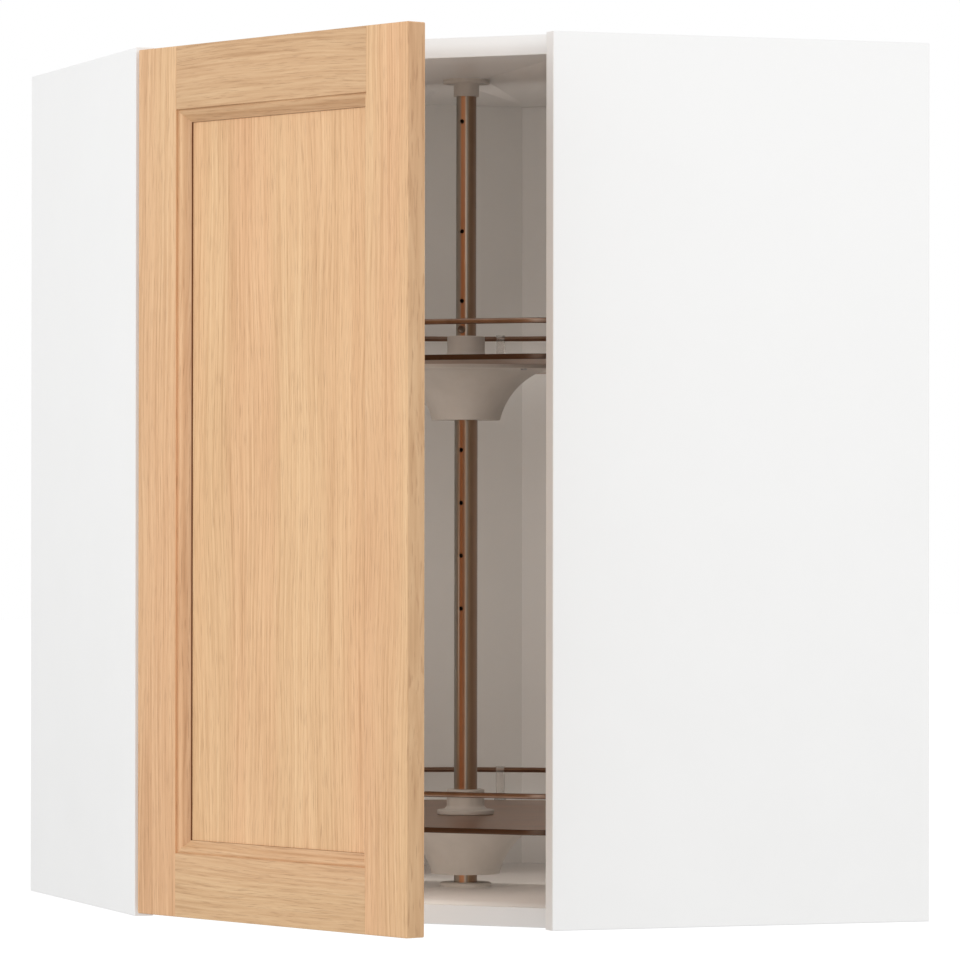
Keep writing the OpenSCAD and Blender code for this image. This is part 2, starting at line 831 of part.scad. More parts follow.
// The rail follows the tray's edge, as four lengths of rod that meet in butt joints
butt_gap = 0.05;
module rail_loop(z, r) {
  bend_r = tray_r - rail_inset;
  gap_a = asin(butt_gap / bend_r);
  facing_front() translate([0, 0, z]) {
    rotate([0, 0, corner_a + gap_a]) rotate_extrude(angle = 360 - 2 * (corner_a + gap_a), $fn = 180)
      translate([bend_r, 0]) circle(r = r, $fn = 24);
    for (side = [-1, 1])
      translate([corner_x, side * corner_y, 0]) rotate([0, 0, side < 0 ? -corner_a : 0])
        rotate_extrude(angle = corner_a, $fn = 64)
          translate([tray_corner_r - rail_inset, 0]) circle(r = r, $fn = 24);
    rod([tray_front - rail_inset, butt_gap - corner_y, 0], [-90, 0, 0],
      2 * (corner_y - butt_gap), r, $fn = 24);
  }
}

module rail_post_places() {
  for (a = rail_post_angles)
    for (side = [-1, 1])
      rotate([0, 0, side * a - 45]) translate([tray_r - rail_inset - 1, 0, 0]) children();
}

module rail_posts(z) {
  base = z + tray_t;
  difference() {
    rail_post_places() translate([0, 0, base]) {
      translate([-4, -rail_post_w / 2, 0]) cube([8, rail_post_w, rail_rise + rail_d / 2 + 1]);
      translate([-4.5, -rail_post_w / 2 - 1.5, 0]) cube([9, rail_post_w + 3, 1.6]);
      translate([0, 0, -tray_t + 0.5]) cylinder(h = tray_t, r = 2);
    }
    translate([0, 0, base + rail_rise]) rotate_extrude($fn = 180)
      translate([tray_r - rail_inset, 0]) circle(r = rail_d / 2 + 0.05, $fn = 24);
  }
}

module bowl_screws(z) {
  bowl_screw_places() {
    translate([0, 0, z - bowl_rim_t - 1.5]) cylinder(h = 1.5, r = 3.2);
    translate([0, 0, z - bowl_rim_t - 1]) cylinder(h = bowl_rim_t + 4.5, r = screw_bore_r - 0.05);
  }
}

module lower_tray() {
  color(brown_metal) tray(tray_low);
}

module upper_tray() {
  color(brown_metal) tray(tray_high);
}

module lower_bowl() {
  color(plastic) bowl(tray_low);
}

module upper_bowl() {
  color(plastic) bowl(tray_high);
}

module lower_hub() {
  color(plastic) hub(tray_low);
}

module upper_hub() {
  color(plastic) hub(tray_high);
}

module lower_rail() {
  color(brown_metal) rail_loop(tray_low + tray_t + rail_rise, rail_d / 2);
}

module upper_rail() {
  color(brown_metal) rail_loop(tray_high + tray_t + rail_rise, rail_d / 2);
}

module lower_rail_posts() {
  color(clear) rail_posts(tray_low);
}

module upper_rail_posts() {
  color(clear) rail_posts(tray_high);
}

module lower_bowl_screws() {
  color(steel) bowl_screws(tray_low);
}

module upper_bowl_screws() {
  color(steel) bowl_screws(tray_high);
}

left_side_panel();
right_side_panel();
top_panel();
bottom_panel();
left_back_panel();
right_back_panel();
corner_panel();
panel_dowels();
cam_locks();
cam_bolts();
left_hanging_bracket();
right_hanging_bracket();
bracket_screws();
upper_hinge_plate();
lower_hinge_plate();
upper_hinge_arm();
lower_hinge_arm();
hinge_plate_screws();
hinge_arm_screws();
hinge_stile();
free_stile();
door_top_rail();
door_bottom_rail();
door_centre_panel();
upper_hinge_cup();
lower_hinge_cup();
upper_hinge_link();
lower_hinge_link();
hinge_cup_screws();
door_bumpers();
post_foot();
foot_screws();
post_lower_tube();
post_upper_tube();
post_top_tube();
post_joint_sleeve();
post_clamp_screw();
top_bearing();
bearing_screws();
lower_support_collar();
upper_support_collar();
support_pins();
lower_tray();
lower_bowl();
lower_hub();
lower_rail();
lower_rail_posts();
lower_bowl_screws();
upper_tray();
upper_bowl();
upper_hub();
upper_rail();
upper_rail_posts();
upper_bowl_screws();
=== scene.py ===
import math

import bmesh
import bpy
from mathutils import Matrix, Vector


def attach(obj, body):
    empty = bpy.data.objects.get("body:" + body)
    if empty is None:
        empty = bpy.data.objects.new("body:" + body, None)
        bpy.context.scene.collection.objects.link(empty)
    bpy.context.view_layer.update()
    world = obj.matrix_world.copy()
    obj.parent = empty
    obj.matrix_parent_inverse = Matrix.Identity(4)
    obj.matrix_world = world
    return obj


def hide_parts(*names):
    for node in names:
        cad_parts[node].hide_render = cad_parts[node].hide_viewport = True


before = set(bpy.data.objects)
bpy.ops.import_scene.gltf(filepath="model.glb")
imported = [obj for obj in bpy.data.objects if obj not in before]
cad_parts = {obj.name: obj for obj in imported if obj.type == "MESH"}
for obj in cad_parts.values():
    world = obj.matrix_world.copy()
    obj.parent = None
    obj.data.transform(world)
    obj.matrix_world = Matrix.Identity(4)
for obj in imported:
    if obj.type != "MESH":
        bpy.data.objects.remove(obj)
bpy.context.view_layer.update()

# ---------------------------------------------------------------- White boards
# The carcass is cut from particleboard with a satin white melamine foil and thin edge bands.
# The sides, top, bottom and corner board are dowelled and drawn together with cam locks.
BOARDS = ("left_side_panel", "right_side_panel", "top_panel", "bottom_panel", "corner_panel")
BOARD_EDGE = 0.0007
BOARD_WHITE = (0.925, 0.925, 0.920, 1)
BOARD_SHADE = (0.908, 0.908, 0.902, 1)
# Points of a CAD mesh nearer than this are one point
SAME_POINT = 1e-6
FLAT_ANGLE = math.radians(1)
SHARP_ANGLE = math.radians(35)


def new_material(name, roughness, metallic=0.0):
    """An empty Principled material: (material, its node tree, its shader)."""
    material = bpy.data.materials.new(name)
    material.use_nodes = True
    tree = material.node_tree
    shader = tree.nodes["Principled BSDF"]
    shader.inputs["Roughness"].default_value = roughness
    shader.inputs["Metallic"].default_value = metallic
    return material, tree, shader


def node(tree, kind, inputs=(), **settings):
    """A node with its settings and inputs. An input is a value, or a socket to link from."""
    made = tree.nodes.new(kind)
    for key, value in settings.items():
        setattr(made, key, value)
    for key, value in dict(inputs).items():
        if isinstance(value, bpy.types.NodeSocket):
            tree.links.new(value, made.inputs[key])
        else:
            made.inputs[key].default_value = value
    return made


def object_coordinates(tree, turn=(0, 0, 0), scale=(1, 1, 1)):
    """The piece's own coordinates in metres, turned and stretched."""
    source = node(tree, "ShaderNodeTexCoord").outputs["Object"]
    inputs = {"Vector": source, "Rotation": turn, "Scale": scale}
    return node(tree, "ShaderNodeMapping", inputs).outputs["Vector"]


def noise(tree, vector, scale, detail=2.0, rough=0.5):
    """A noise texture's value between 0 and 1."""
    inputs = {"Vector": vector, "Scale": scale, "Detail": detail, "Roughness": rough}
    return node(tree, "ShaderNodeTexNoise", inputs).outputs["Fac"]


def ramp(tree, value, stops):
    """A colour ramp over (place, colour) stops."""
    made = node(tree, "ShaderNodeValToRGB", {"Fac": value})
    points = made.color_ramp.elements
    points[0].position, points[0].color = stops[0]
    points[1].position, points[1].color = stops[-1]
    for place, colour in stops[1:-1]:
        points.new(place).color = colour
    return made.outputs["Color"]


def spread(tree, value, low, high):
    """A value from 0 to 1 spread between low and high."""
    inputs = {"Value": value, "To Min": low, "To Max": high}
    return node(tree, "ShaderNodeMapRange", inputs).outputs["Result"]


def bump(tree, shader, height, distance, strength):
    """Bump from a height, in metres."""
    inputs = {"Height": height, "Distance": distance, "Strength": strength}
    made = node(tree, "ShaderNodeBump", inputs)
    tree.links.new(made.outputs["Normal"], shader.inputs["Normal"])


def melamine(name, pale, shaded, rough_low, rough_high):
    """Foil on board: a faint mottle, a fine orange peel and slightly uneven gloss."""
    material, tree, shader = new_material(name, rough_low)
    place = object_coordinates(tree)
    cloud = noise(tree, place, 9.0, 3.0, 0.6)
    tree.links.new(ramp(tree, cloud, [(0.25, shaded), (0.7, pale)]), shader.inputs["Base Color"])
    tree.links.new(spread(tree, cloud, rough_low, rough_high), shader.inputs["Roughness"])
    bump(tree, shader, noise(tree, place, 900.0), 0.00004, 0.5)
    return material


def put_in_scene(name, data):
    """A new object at the origin with a mesh, lamp or camera in it."""
    thing = bpy.data.objects.new(name, data)
    bpy.context.scene.collection.objects.link(thing)
    return thing


def shade_round(mesh, angle=SHARP_ANGLE):
    """Smooth shading that stops at edges sharper than an angle."""
    mesh.shade_smooth()
    mesh.set_sharp_from_angle(angle=angle)


def clean_copy(name):
    """A copy of a CAD node's mesh, and the same mesh open for work with its doubles merged."""
    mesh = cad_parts[name].data.copy()
    bm = bmesh.new()
    bm.from_mesh(mesh)
    bmesh.ops.remove_doubles(bm, verts=bm.verts, dist=SAME_POINT)
    return mesh, bm


def round_off(bm, edges, width, segments):
    """Rounds edges over a width."""
    bmesh.ops.bevel(bm, geom=edges, offset=width, segments=segments, profile=0.5,
                    affect="EDGES", clamp_overlap=True)


def softened(name, width, shortest=0.03):
    """A copy of a CAD node whose sharp edges over a shortest length are rounded."""
    mesh, bm = clean_copy(name)
    bmesh.ops.dissolve_limit(bm, angle_limit=FLAT_ANGLE, verts=bm.verts, edges=bm.edges)
    sharp = [e for e in bm.edges if e.is_manifold and e.calc_face_angle(0) > SHARP_ANGLE]
    round_off(bm, [e for e in sharp if e.calc_length() > shortest], width, 2)
    bm.to_mesh(mesh)
    bm.free()
    return put_in_scene("visual_" + name, mesh)


def smoothed(name):
    """A copy of a CAD node whose round faces are shaded round."""
    mesh, bm = clean_copy(name)
    bm.to_mesh(mesh)
    bm.free()
    shade_round(mesh)
    return put_in_scene("visual_" + name, mesh)


def finish_piece(piece, material, body, slot, *nodes):
    """Gives a new piece its material and body, and lets it stand for its CAD nodes."""
    piece.data.materials.clear()
    piece.data.materials.append(material)
    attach(piece, body)
    if nodes:
        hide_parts(*nodes)


white_foil = melamine("white_melamine", BOARD_WHITE, BOARD_SHADE, 0.32, 0.42)
for board in BOARDS:
    finish_piece(softened(board, BOARD_EDGE), white_foil, "cabinet", "white_board", board)

# ---------------------------------------------------------------- Back panels
# Two thin backs of white hardboard slide in grooves 15 mm in front of the walls. A strip at the top
# of each is shorter than the sheet, to leave room for the wall bolt. Their foil is a little duller.
BACK_WHITE = (0.86, 0.86, 0.85, 1)
BACK_SHADE = (0.845, 0.845, 0.835, 1)


def dress(name, material):
    """Gives a carried-over CAD node its material."""
    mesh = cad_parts[name].data
    mesh.materials.clear()
    mesh.materials.append(material)


dull_foil = melamine("white_hardboard", BACK_WHITE, BACK_SHADE, 0.45, 0.6)
for sheet in ("left_back_panel", "right_back_panel"):
    dress(sheet, dull_foil)

# ---------------------------------------------------------------- Dowels, cams and brackets
# Beech dowels and zinc-plated cams join the boards, and pressed steel brackets hang the cabinet.
# The metal ones have a bright, slightly cloudy plating, and the dowels are fluted.
DOWEL_PALE = (0.66, 0.46, 0.27, 1)
DOWEL_DARK = (0.52, 0.34, 0.18, 1)
ZINC_PALE = (0.62, 0.62, 0.64, 1)
ZINC_DARK = (0.40, 0.40, 0.43, 1)
BRACKET_EDGE, BRACKET_SHORTEST = 0.0004, 0.02


def plated(name, pale, dark, roughness):
    """Zinc plate: a cloudy spangle and fine drawing lines."""
    material, tree, shader = new_material(name, roughness, 1.0)
    place = object_coordinates(tree)
    cloud = noise(tree, place, 160.0, 3.0, 0.6)
    tree.links.new(ramp(tree, cloud, [(0.3, dark), (0.7, pale)]), shader.inputs["Base Color"])
    tree.links.new(spread(tree, cloud, roughness, roughness + 0.15), shader.inputs["Roughness"])
    lines = noise(tree, object_coordinates(tree, scale=(1, 1, 0.05)), 2500.0, 2.0)
    bump(tree, shader, lines, 0.00003, 0.4)
    return material


def turned_beech():
    """Fluted beech: fine lines along the dowel."""
    material, tree, shader = new_material("beech", 0.7)
    lines = noise(tree, object_coordinates(tree, scale=(1, 0.1, 1)), 900.0, 3.0)
    colours = ramp(tree, lines, [(0.3, DOWEL_DARK), (0.7, DOWEL_PALE)])
    tree.links.new(colours, shader.inputs["Base Color"])
    bump(tree, shader, lines, 0.0002, 0.6)
    return material


zinc = plated("zinc_plate", ZINC_PALE, ZINC_DARK, 0.28)
finish_piece(smoothed("panel_dowels"), turned_beech(), "cabinet", "dowel_wood", "panel_dowels")
for fitting in ("cam_locks", "cam_bolts"):
    finish_piece(smoothed(fitting), zinc, "cabinet", "zinc_steel", fitting)
for bracket in ("left_hanging_bracket", "right_hanging_bracket"):
    bracket_piece = softened(bracket, BRACKET_EDGE, BRACKET_SHORTEST)
    finish_piece(bracket_piece, zinc, "cabinet", "zinc_steel", bracket)


def open_tree(name, sizes):
    """A Geometry Nodes tree with named size inputs, and the sockets that give its inputs."""
    tree = bpy.data.node_groups.new(name, "GeometryNodeTree")
    tree.interface.new_socket(name="Geometry", in_out="INPUT", socket_type="NodeSocketGeometry")
    for size in sizes:
        tree.interface.new_socket(name=size, in_out="INPUT", socket_type="NodeSocketFloat")
    tree.interface.new_socket(name="Metal", in_out="INPUT", socket_type="NodeSocketMaterial")
    tree.interface.new_socket(name="Geometry", in_out="OUTPUT", socket_type="NodeSocketGeometry")
    return tree, node(tree, "NodeGroupInput").outputs


def close_tree(tree, made, metal):
    """Ends a tree: its instances are made real and get their metal."""
    real = node(tree, "GeometryNodeRealizeInstances", {"Geometry": made}).outputs[0]
    inputs = {"Geometry": real, "Material": metal}
    node(tree, "NodeGroupOutput", {0: node(tree, "GeometryNodeSetMaterial", inputs).outputs[0]})


# The sizes that each kind of screw is given by, in metres and in this order
SCREW_SIZES = ("Head radius", "Head height", "Shank radius", "Shank length")
# A screw head's shape: its top's share of the radius, and the recess's length, width and depth as
# shares of the head's radius and height
HEAD_TOP = 0.78
SLOT_LONG, SLOT_WIDE, SLOT_DEEP = 1.1, 0.24, 1.2


def screw_tree():
    """Pan-head screws with a cross recess, one on each point, whose heads look along "way"."""
    tree, given = open_tree("cross_screws", SCREW_SIZES)

    def times(socket, factor):
        inputs = {0: given[socket], 1: factor}
        return node(tree, "ShaderNodeMath", inputs, operation="MULTIPLY").outputs[0]

    def moved_up(mesh, height):
        lift = node(tree, "ShaderNodeCombineXYZ", {"Z": height}).outputs[0]
        inputs = {"Geometry": mesh, "Translation": lift}
        return node(tree, "GeometryNodeTransform", inputs).outputs[0]

    head = node(tree, "GeometryNodeMeshCone", {
        "Vertices": 32, "Side Segments": 3, "Radius Top": times("Head radius", HEAD_TOP),
        "Radius Bottom": given["Head radius"], "Depth": given["Head height"]},
        fill_type="NGON").outputs["Mesh"]
    slots = []
    for long_way, short_way in (("X", "Y"), ("Y", "X")):
        size = node(tree, "ShaderNodeCombineXYZ", {
            long_way: times("Head radius", SLOT_LONG), short_way: times("Head radius", SLOT_WIDE),
            "Z": times("Head height", SLOT_DEEP)}).outputs[0]
        cube = node(tree, "GeometryNodeMeshCube", {"Size": size}).outputs["Mesh"]
        slots.append(moved_up(cube, given["Head height"]))
    cut = node(tree, "GeometryNodeMeshBoolean", {"Mesh 1": head}, operation="DIFFERENCE")
    for slot in slots:
        tree.links.new(slot, cut.inputs["Mesh 2"])
    shank = node(tree, "GeometryNodeMeshCylinder", {
        "Vertices": 20, "Radius": given["Shank radius"], "Depth": given["Shank length"]},
        fill_type="NGON").outputs["Mesh"]
    # A hair less than half its length down, so that the shank starts inside the head
    shank = moved_up(shank, times("Shank length", -0.499))
    screw = node(tree, "GeometryNodeJoinGeometry")
    tree.links.new(cut.outputs["Mesh"], screw.inputs[0])
    tree.links.new(shank, screw.inputs[0])
    way = node(tree, "GeometryNodeInputNamedAttribute", {"Name": "way"},
               data_type="FLOAT_VECTOR").outputs["Attribute"]
    turn = node(tree, "FunctionNodeAlignRotationToVector", {"Vector": way}, axis="Z").outputs[0]
    placed = node(tree, "GeometryNodeInstanceOnPoints", {
        "Points": given["Geometry"], "Instance": screw.outputs[0], "Rotation": turn}).outputs[0]
    close_tree(tree, placed, given["Metal"])
    return tree


def grown(name, base, tree, values):
    """The plain mesh that a Geometry Nodes tree makes from a base mesh."""
    piece = put_in_scene(name, base)
    modifier = piece.modifiers.new("make", "NODES")
    modifier.node_group = tree
    inputs = [item for item in tree.interface.items_tree if item.in_out == "INPUT"]
    sockets = {item.name: item.identifier for item in inputs}
    for key, value in values.items():
        modifier[sockets[key]] = value
    view = bpy.context.evaluated_depsgraph_get()
    view.update()
    made = bpy.data.meshes.new_from_object(piece.evaluated_get(view))
    piece.modifiers.remove(modifier)
    piece.data = made
    return piece


CROSS_SCREWS = screw_tree()


def drive_screws(cad_node, body, spots, sizes):
    """Screws at spots of (seat of the head, way the head looks), with sizes as in SCREW_SIZES."""
    base = bpy.data.meshes.new(cad_node + "_seats")
    base.from_pydata([spot for spot, way in spots], [], [])
    ways = base.attributes.new("way", "FLOAT_VECTOR", "POINT")
    for i, (spot, way) in enumerate(spots):
        ways.data[i].vector = way
    values = {**dict(zip(SCREW_SIZES, sizes)), "Metal": zinc}
    piece = grown("visual_" + cad_node, base, CROSS_SCREWS, values)
    shade_round(piece.data)
    finish_piece(piece, zinc, body, "zinc_steel", cad_node)


# The cabinet's middle lies in front of the carousel's axis
CABINET_AT = Vector((0.004455, -0.004455, 0))
BRACKET_FACE = -0.312
BRACKET_Z = 0.760
BRACKET_SCREW_X = (-0.2995, -0.2815)
BRACKET_SCREW = (0.0035, 0.002, 0.00155, 0.0125)
bracket_spots = []
for x in BRACKET_SCREW_X:
    bracket_spots.append((Vector((x, BRACKET_FACE, BRACKET_Z)) + CABINET_AT, (0, 1, 0)))
    bracket_spots.append((Vector((-BRACKET_FACE, -x, BRACKET_Z)) + CABINET_AT, (-1, 0, 0)))
drive_screws("bracket_screws", "cabinet", bracket_spots, BRACKET_SCREW)

# ---------------------------------------------------------------- Door frame
# Two full-height oak stiles and two rails between them, with a stuck moulding round the inside
# whose corners are mitred. The grain runs along each piece, under a clear matt lacquer.
HINGE_AXIS = Vector((0.0073, -0.3296, 0)) + CABINET_AT
DOOR_OPEN = math.radians(25.2)
DOOR_INNER = 0.23757
DOOR_W, DOOR_H, DOOR_T = 0.394994, 0.794, 0.020
DOOR_LIFT = 0.003
FRAME_W = 0.058
MOULD_W = 0.012
PANEL_RECESS = 0.0106
OUTER_EDGE = 0.0012
JOINT_EDGE = 0.00025
DOOR_SHUT = math.radians(-45)
DOOR_TURN = DOOR_SHUT - DOOR_OPEN
# The moulding's section: (distance from the flat's edge, depth under the face, painted shade). The
# painted shade darkens the outer step, the lower slope and most of all the last step down to the panel,
# where shade falls.
MOULD_FRONT = (
    (0.0, 0.0022, 0.30), (0.0003, 0.0024, 0.22), (0.0012, 0.0021, 0.0), (0.0028, 0.0022, 0.0),
    (0.0042, 0.0028, 0.0), (0.0054, 0.0037, 0.02), (0.0062, 0.0047, 0.12), (0.0074, 0.0060, 0.14),
    (0.0088, 0.0073, 0.15), (0.0102, 0.0083, 0.18), (0.0114, 0.0089, 0.22), (0.0117, 0.0090, 0.4),
    (0.0119, 0.0092, 1.0), (0.0119, 0.0116, 1.0))
# Behind the face the section has the groove that holds the panel
PANEL_T = 0.005
PANEL_BACK = PANEL_RECESS + PANEL_T
GROOVE_IN, GROOVE_FRONT, GROOVE_BACK = 0.004, 0.0116, PANEL_BACK + 0.0002
MOULD_BACK = ((GROOVE_IN, GROOVE_FRONT, 0), (GROOVE_IN, GROOVE_BACK, 0), (MOULD_W, GROOVE_BACK, 0),
              (MOULD_W, DOOR_T, 0), (0.0, DOOR_T, 0))
# How much of that painted shade shows on the stiles and the rails, and the painted shade on the free
# stile's outer edge
STILE_PAINTED_SHADE, RAIL_PAINTED_SHADE, FREE_EDGE_PAINTED_SHADE = 1.0, 0.4, 0.20
DOOR_SHARP = 40

# From the closed door's own frame (x out of its inner face, y from the hinge edge, z up) to the row
door_place = (
    Matrix.Translation(HINGE_AXIS)
    @ Matrix.Rotation(-DOOR_OPEN, 4, "Z")
    @ Matrix.Translation(-HINGE_AXIS)
    @ Matrix.Rotation(DOOR_SHUT, 4, "Z")
    @ Matrix.Translation(Vector((DOOR_INNER, -DOOR_W / 2, DOOR_LIFT)))
)


def add_box(bm, low, high):
    """A box between two corners."""
    made = bmesh.ops.create_cube(bm, size=1.0)
    size = Vector(high) - Vector(low)
    middle = (Vector(high) + Vector(low)) / 2
    for v in made["verts"]:
        v.co = Vector((v.co.x * size.x, v.co.y * size.y, v.co.z * size.z)) + middle


def round_edges(bm, chosen, width, segments=3):
    """Rounds the edges for which chosen(middle, direction) is true."""
    edges = []
    for e in bm.edges:
        a, b = e.verts[0].co, e.verts[1].co
        if chosen((a + b) / 2, (b - a).normalized()):
            edges.append(e)
    round_off(bm, edges, width, segments)


def add_mould(bm, length, along, painted_shade_share):
    """The moulding on the member whose outer edge is at 0, mitred at both ends.
    along(depth, across, run) gives a point's place in the door's own frame."""
    section = MOULD_FRONT + MOULD_BACK
    # Each point of the section carries its share of painted shade in a mesh attribute
    painted_shade = bm.verts.layers.float.new("painted_shade")
    ends = []
    for side in (0, 1):
        ring = []
        for across, depth, dark in section:
            u = FRAME_W + across
            run = u if side == 0 else length - u
            corner = bm.verts.new(along(DOOR_T - depth, u, run))
            corner[painted_shade] = dark * painted_shade_share
            ring.append(corner)
        ends.append(ring)
    bm.faces.new(ends[0])
    bm.faces.new(list(reversed(ends[1])))
    for i in range(len(section)):
        j = (i + 1) % len(section)
        bm.faces.new((ends[0][i], ends[1][i], ends[1][j], ends[0][j]))


def make_piece(name, bm, place=None, smooth=None):
    """A mesh object from bm, with its place in its mesh. smooth is the sharpest edge, in degrees,
    that is shaded round."""
    bmesh.ops.recalc_face_normals(bm, faces=bm.faces)
    mesh = bpy.data.meshes.new(name)
    bm.to_mesh(mesh)
    bm.free()
    if place is not None:
        mesh.transform(place)
    if smooth is not None:
        shade_round(mesh, math.radians(smooth))
    return put_in_scene(name, mesh)


def mirrored(bm, axis, length):
    """Turns bm into its mirror image, which takes up the same length along the axis."""
    move = Matrix.Translation(Vector(axis) * length)
    bmesh.ops.transform(bm, matrix=move @ Matrix.Scale(-1, 4, axis), verts=bm.verts)


def stile_piece(name, free_side):
    """A stile on the hinge side, or on the free side as its mirror image."""
    bm = bmesh.new()
    add_box(bm, (0, 0, 0), (DOOR_T, FRAME_W, DOOR_H))
    round_edges(bm, lambda m, d: abs(m.y - FRAME_W) >= SAME_POINT, OUTER_EDGE)
    round_edges(bm, lambda m, d: abs(m.y - FRAME_W) < SAME_POINT and abs(d.z) > 0.9, JOINT_EDGE, 1)
    add_mould(bm, DOOR_H, lambda x, u, run: Vector((x, u, run)), STILE_PAINTED_SHADE)
    if free_side:
        # Painted shade on the free stile's outer edge, where less light falls
        painted_shade = bm.verts.layers.float["painted_shade"]
        for v in bm.verts:
            if v.co.y < SAME_POINT:
                v[painted_shade] = FREE_EDGE_PAINTED_SHADE
        mirrored(bm, (0, 1, 0), DOOR_W)
    return make_piece(name, bm, door_place, DOOR_SHARP)


def rail_piece(name, top):
    """The bottom rail, or the top rail as its mirror image."""
    bm = bmesh.new()
    add_box(bm, (0, FRAME_W, 0), (DOOR_T, DOOR_W - FRAME_W, FRAME_W))
    round_edges(bm, lambda m, d: abs(m.z) < SAME_POINT and abs(d.y) > 0.9, OUTER_EDGE)
    round_edges(bm, lambda m, d: abs(d.z) > 0.9, JOINT_EDGE, 1)
    add_mould(bm, DOOR_W, lambda x, u, run: Vector((x, run, u)), RAIL_PAINTED_SHADE)
    if top:
        mirrored(bm, (0, 0, 1), DOOR_H)
    return make_piece(name, bm, door_place, DOOR_SHARP)


OAK_PALE = (0.790, 0.505, 0.283, 1)
OAK_MID = (0.705, 0.425, 0.228, 1)
OAK_DARK = (0.565, 0.315, 0.155, 1)
OAK_PORE = (0.420, 0.205, 0.092, 1)
OAK_PINK = (1.0, 0.970, 0.955)
OAK_STRAW = (0.995, 1.035, 1.020)
# The colour of the painted shade on the moulding's steps and slope and on the free stile's outer edge
OAK_PAINTED_SHADE = (0.170, 0.058, 0.017, 1)
# How far a growth line wanders to each side, and how deep the open grain is
OAK_WANDER, OAK_RELIEF = 0.018, 0.0002


def colour_mix(tree, share, first, second, kind="MIX"):
    """A share of the second colour over the first."""
    inputs = {0: share, 6: first, 7: second}
    return node(tree, "ShaderNodeMix", inputs, data_type="RGBA", blend_type=kind).outputs[2]


def oak(name, grain, seed, pitch, run, level):
    """Oak with its grain up the door ("z") or across it ("y"). The pattern is worked out in the
    door's own directions: growth lines some pitch apart that wander and fade over a run, fine
    fibres, a broad drift between pink and straw, and short open pores. level is how pale it is."""
    material, tree, shader = new_material(name, 0.5)
    flat = object_coordinates(tree, turn=(0, 0, -DOOR_TURN))

    def mapped(vector, **inputs):
        return node(tree, "ShaderNodeMapping", {"Vector": vector, **inputs}).outputs["Vector"]

    def math_node(operation, a, b):
        return node(tree, "ShaderNodeMath", {0: a, 1: b}, operation=operation).outputs[0]

    if grain == "y":
        flat = mapped(flat, Rotation=(math.radians(90), 0, 0))
    place = mapped(flat, Location=(seed * 0.37, seed * 0.73, seed * 1.31))
    wander = noise(tree, mapped(place, Scale=(8.0, 8.0, 2.2)), 1.0, 2.0, 0.45)
    sideways = {"Y": spread(tree, wander, -OAK_WANDER, OAK_WANDER)}
    sway = node(tree, "ShaderNodeCombineXYZ", sideways).outputs["Vector"]
    bent = node(tree, "ShaderNodeVectorMath", {0: place, 1: sway}, operation="ADD").outputs["Vector"]

    def along_grain(across, along, detail, rough):
        vector = mapped(bent, Scale=(across * 0.35, across, along))
        return noise(tree, vector, 1.0, detail, rough)

    growth = along_grain(1.0 / pitch, 1.0 / run, 3.0, 0.7)
    fibre = along_grain(430.0, 7.0, 2.0, 0.6)
    broad = along_grain(24.0, 1.2, 2.0, 0.5)
    tone = math_node("MULTIPLY", growth, 0.40)
    tone = math_node("ADD", tone, math_node("MULTIPLY", fibre, 0.42))
    tone = math_node("ADD", tone, math_node("MULTIPLY", broad, 0.18))
    colours = ramp(tree, tone, [(0.35, OAK_DARK), (0.48, OAK_MID), (0.61, OAK_PALE)])
    tints = [[level * part for part in tint] + [1] for tint in (OAK_PINK, OAK_STRAW)]
    drift = ramp(tree, along_grain(15.0, 0.8, 1.0, 0.5), [(0.38, tints[0]), (0.62, tints[1])])
    colours = colour_mix(tree, 1.0, colours, drift, "MULTIPLY")
    pores = along_grain(1300.0, 40.0, 1.0, 0.5)
    pits = node(tree, "ShaderNodeMapRange", {
        "Value": pores, "From Min": 0.60, "From Max": 0.74}).outputs["Result"]
    colours = colour_mix(tree, math_node("MULTIPLY", pits, 0.45), colours, OAK_PORE)
    # Painted shade: the mesh attribute darkens the moulding's steps and lower slope, and the free stile's
    # outer edge
    painted_shade = node(tree, "ShaderNodeAttribute", attribute_name="painted_shade").outputs["Fac"]
    colours = colour_mix(tree, painted_shade, colours, OAK_PAINTED_SHADE)
    tree.links.new(colours, shader.inputs["Base Color"])
    tree.links.new(spread(tree, tone, 0.62, 0.46), shader.inputs["Roughness"])
    bump(tree, shader, math_node("SUBTRACT", fibre, pits), OAK_RELIEF, 0.8)
    return material


STILE_PITCH, STILE_RUN = 0.0030, 0.30
RAIL_PITCH, RAIL_RUN = 0.0030, 0.080
# Each stile and rail is cut from its own board: (name, CAD node, mirrored, seed, level)
for name, cad_node, free_side, seed, level in (("hinge_stile", "hinge_stile", False, 1.0, 1.07),
                                               ("free_stile", "free_stile", True, 2.3, 1.08)):
    board_oak = oak("oak_" + name, "z", seed, STILE_PITCH, STILE_RUN, level)
    finish_piece(stile_piece("visual_" + name, free_side), board_oak, "door", "oak", cad_node)
for name, cad_node, top, seed, level in (("top_rail", "door_top_rail", True, 3.7, 0.92),
                                         ("bottom_rail", "door_bottom_rail", False, 5.1, 0.97)):
    board_oak = oak("oak_" + name, "y", seed, RAIL_PITCH, RAIL_RUN, level)
    finish_piece(rail_piece("visual_" + name, top), board_oak, "door", "oak", cad_node)

# ---------------------------------------------------------------- Centre panel
# A flat oak-veneered panel lies close behind the moulding. A thinner tongue round it floats in the
# grooves of the frame, so that the panel can move. The veneer's growth lines run straight up.
PANEL_IN, PANEL_EDGE = 0.0120, 0.0002
TONGUE_IN, TONGUE_FRONT, TONGUE_BACK = 0.0045, 0.0120, 0.0154
PANEL_PITCH = 0.0034


def add_sheet(bm, inset, front, back):
    """A sheet inside the frame, some inset from the flats' edges, between two depths."""
    u = FRAME_W + inset
    add_box(bm, (DOOR_T - back, u, u), (DOOR_T - front, DOOR_W - u, DOOR_H - u))


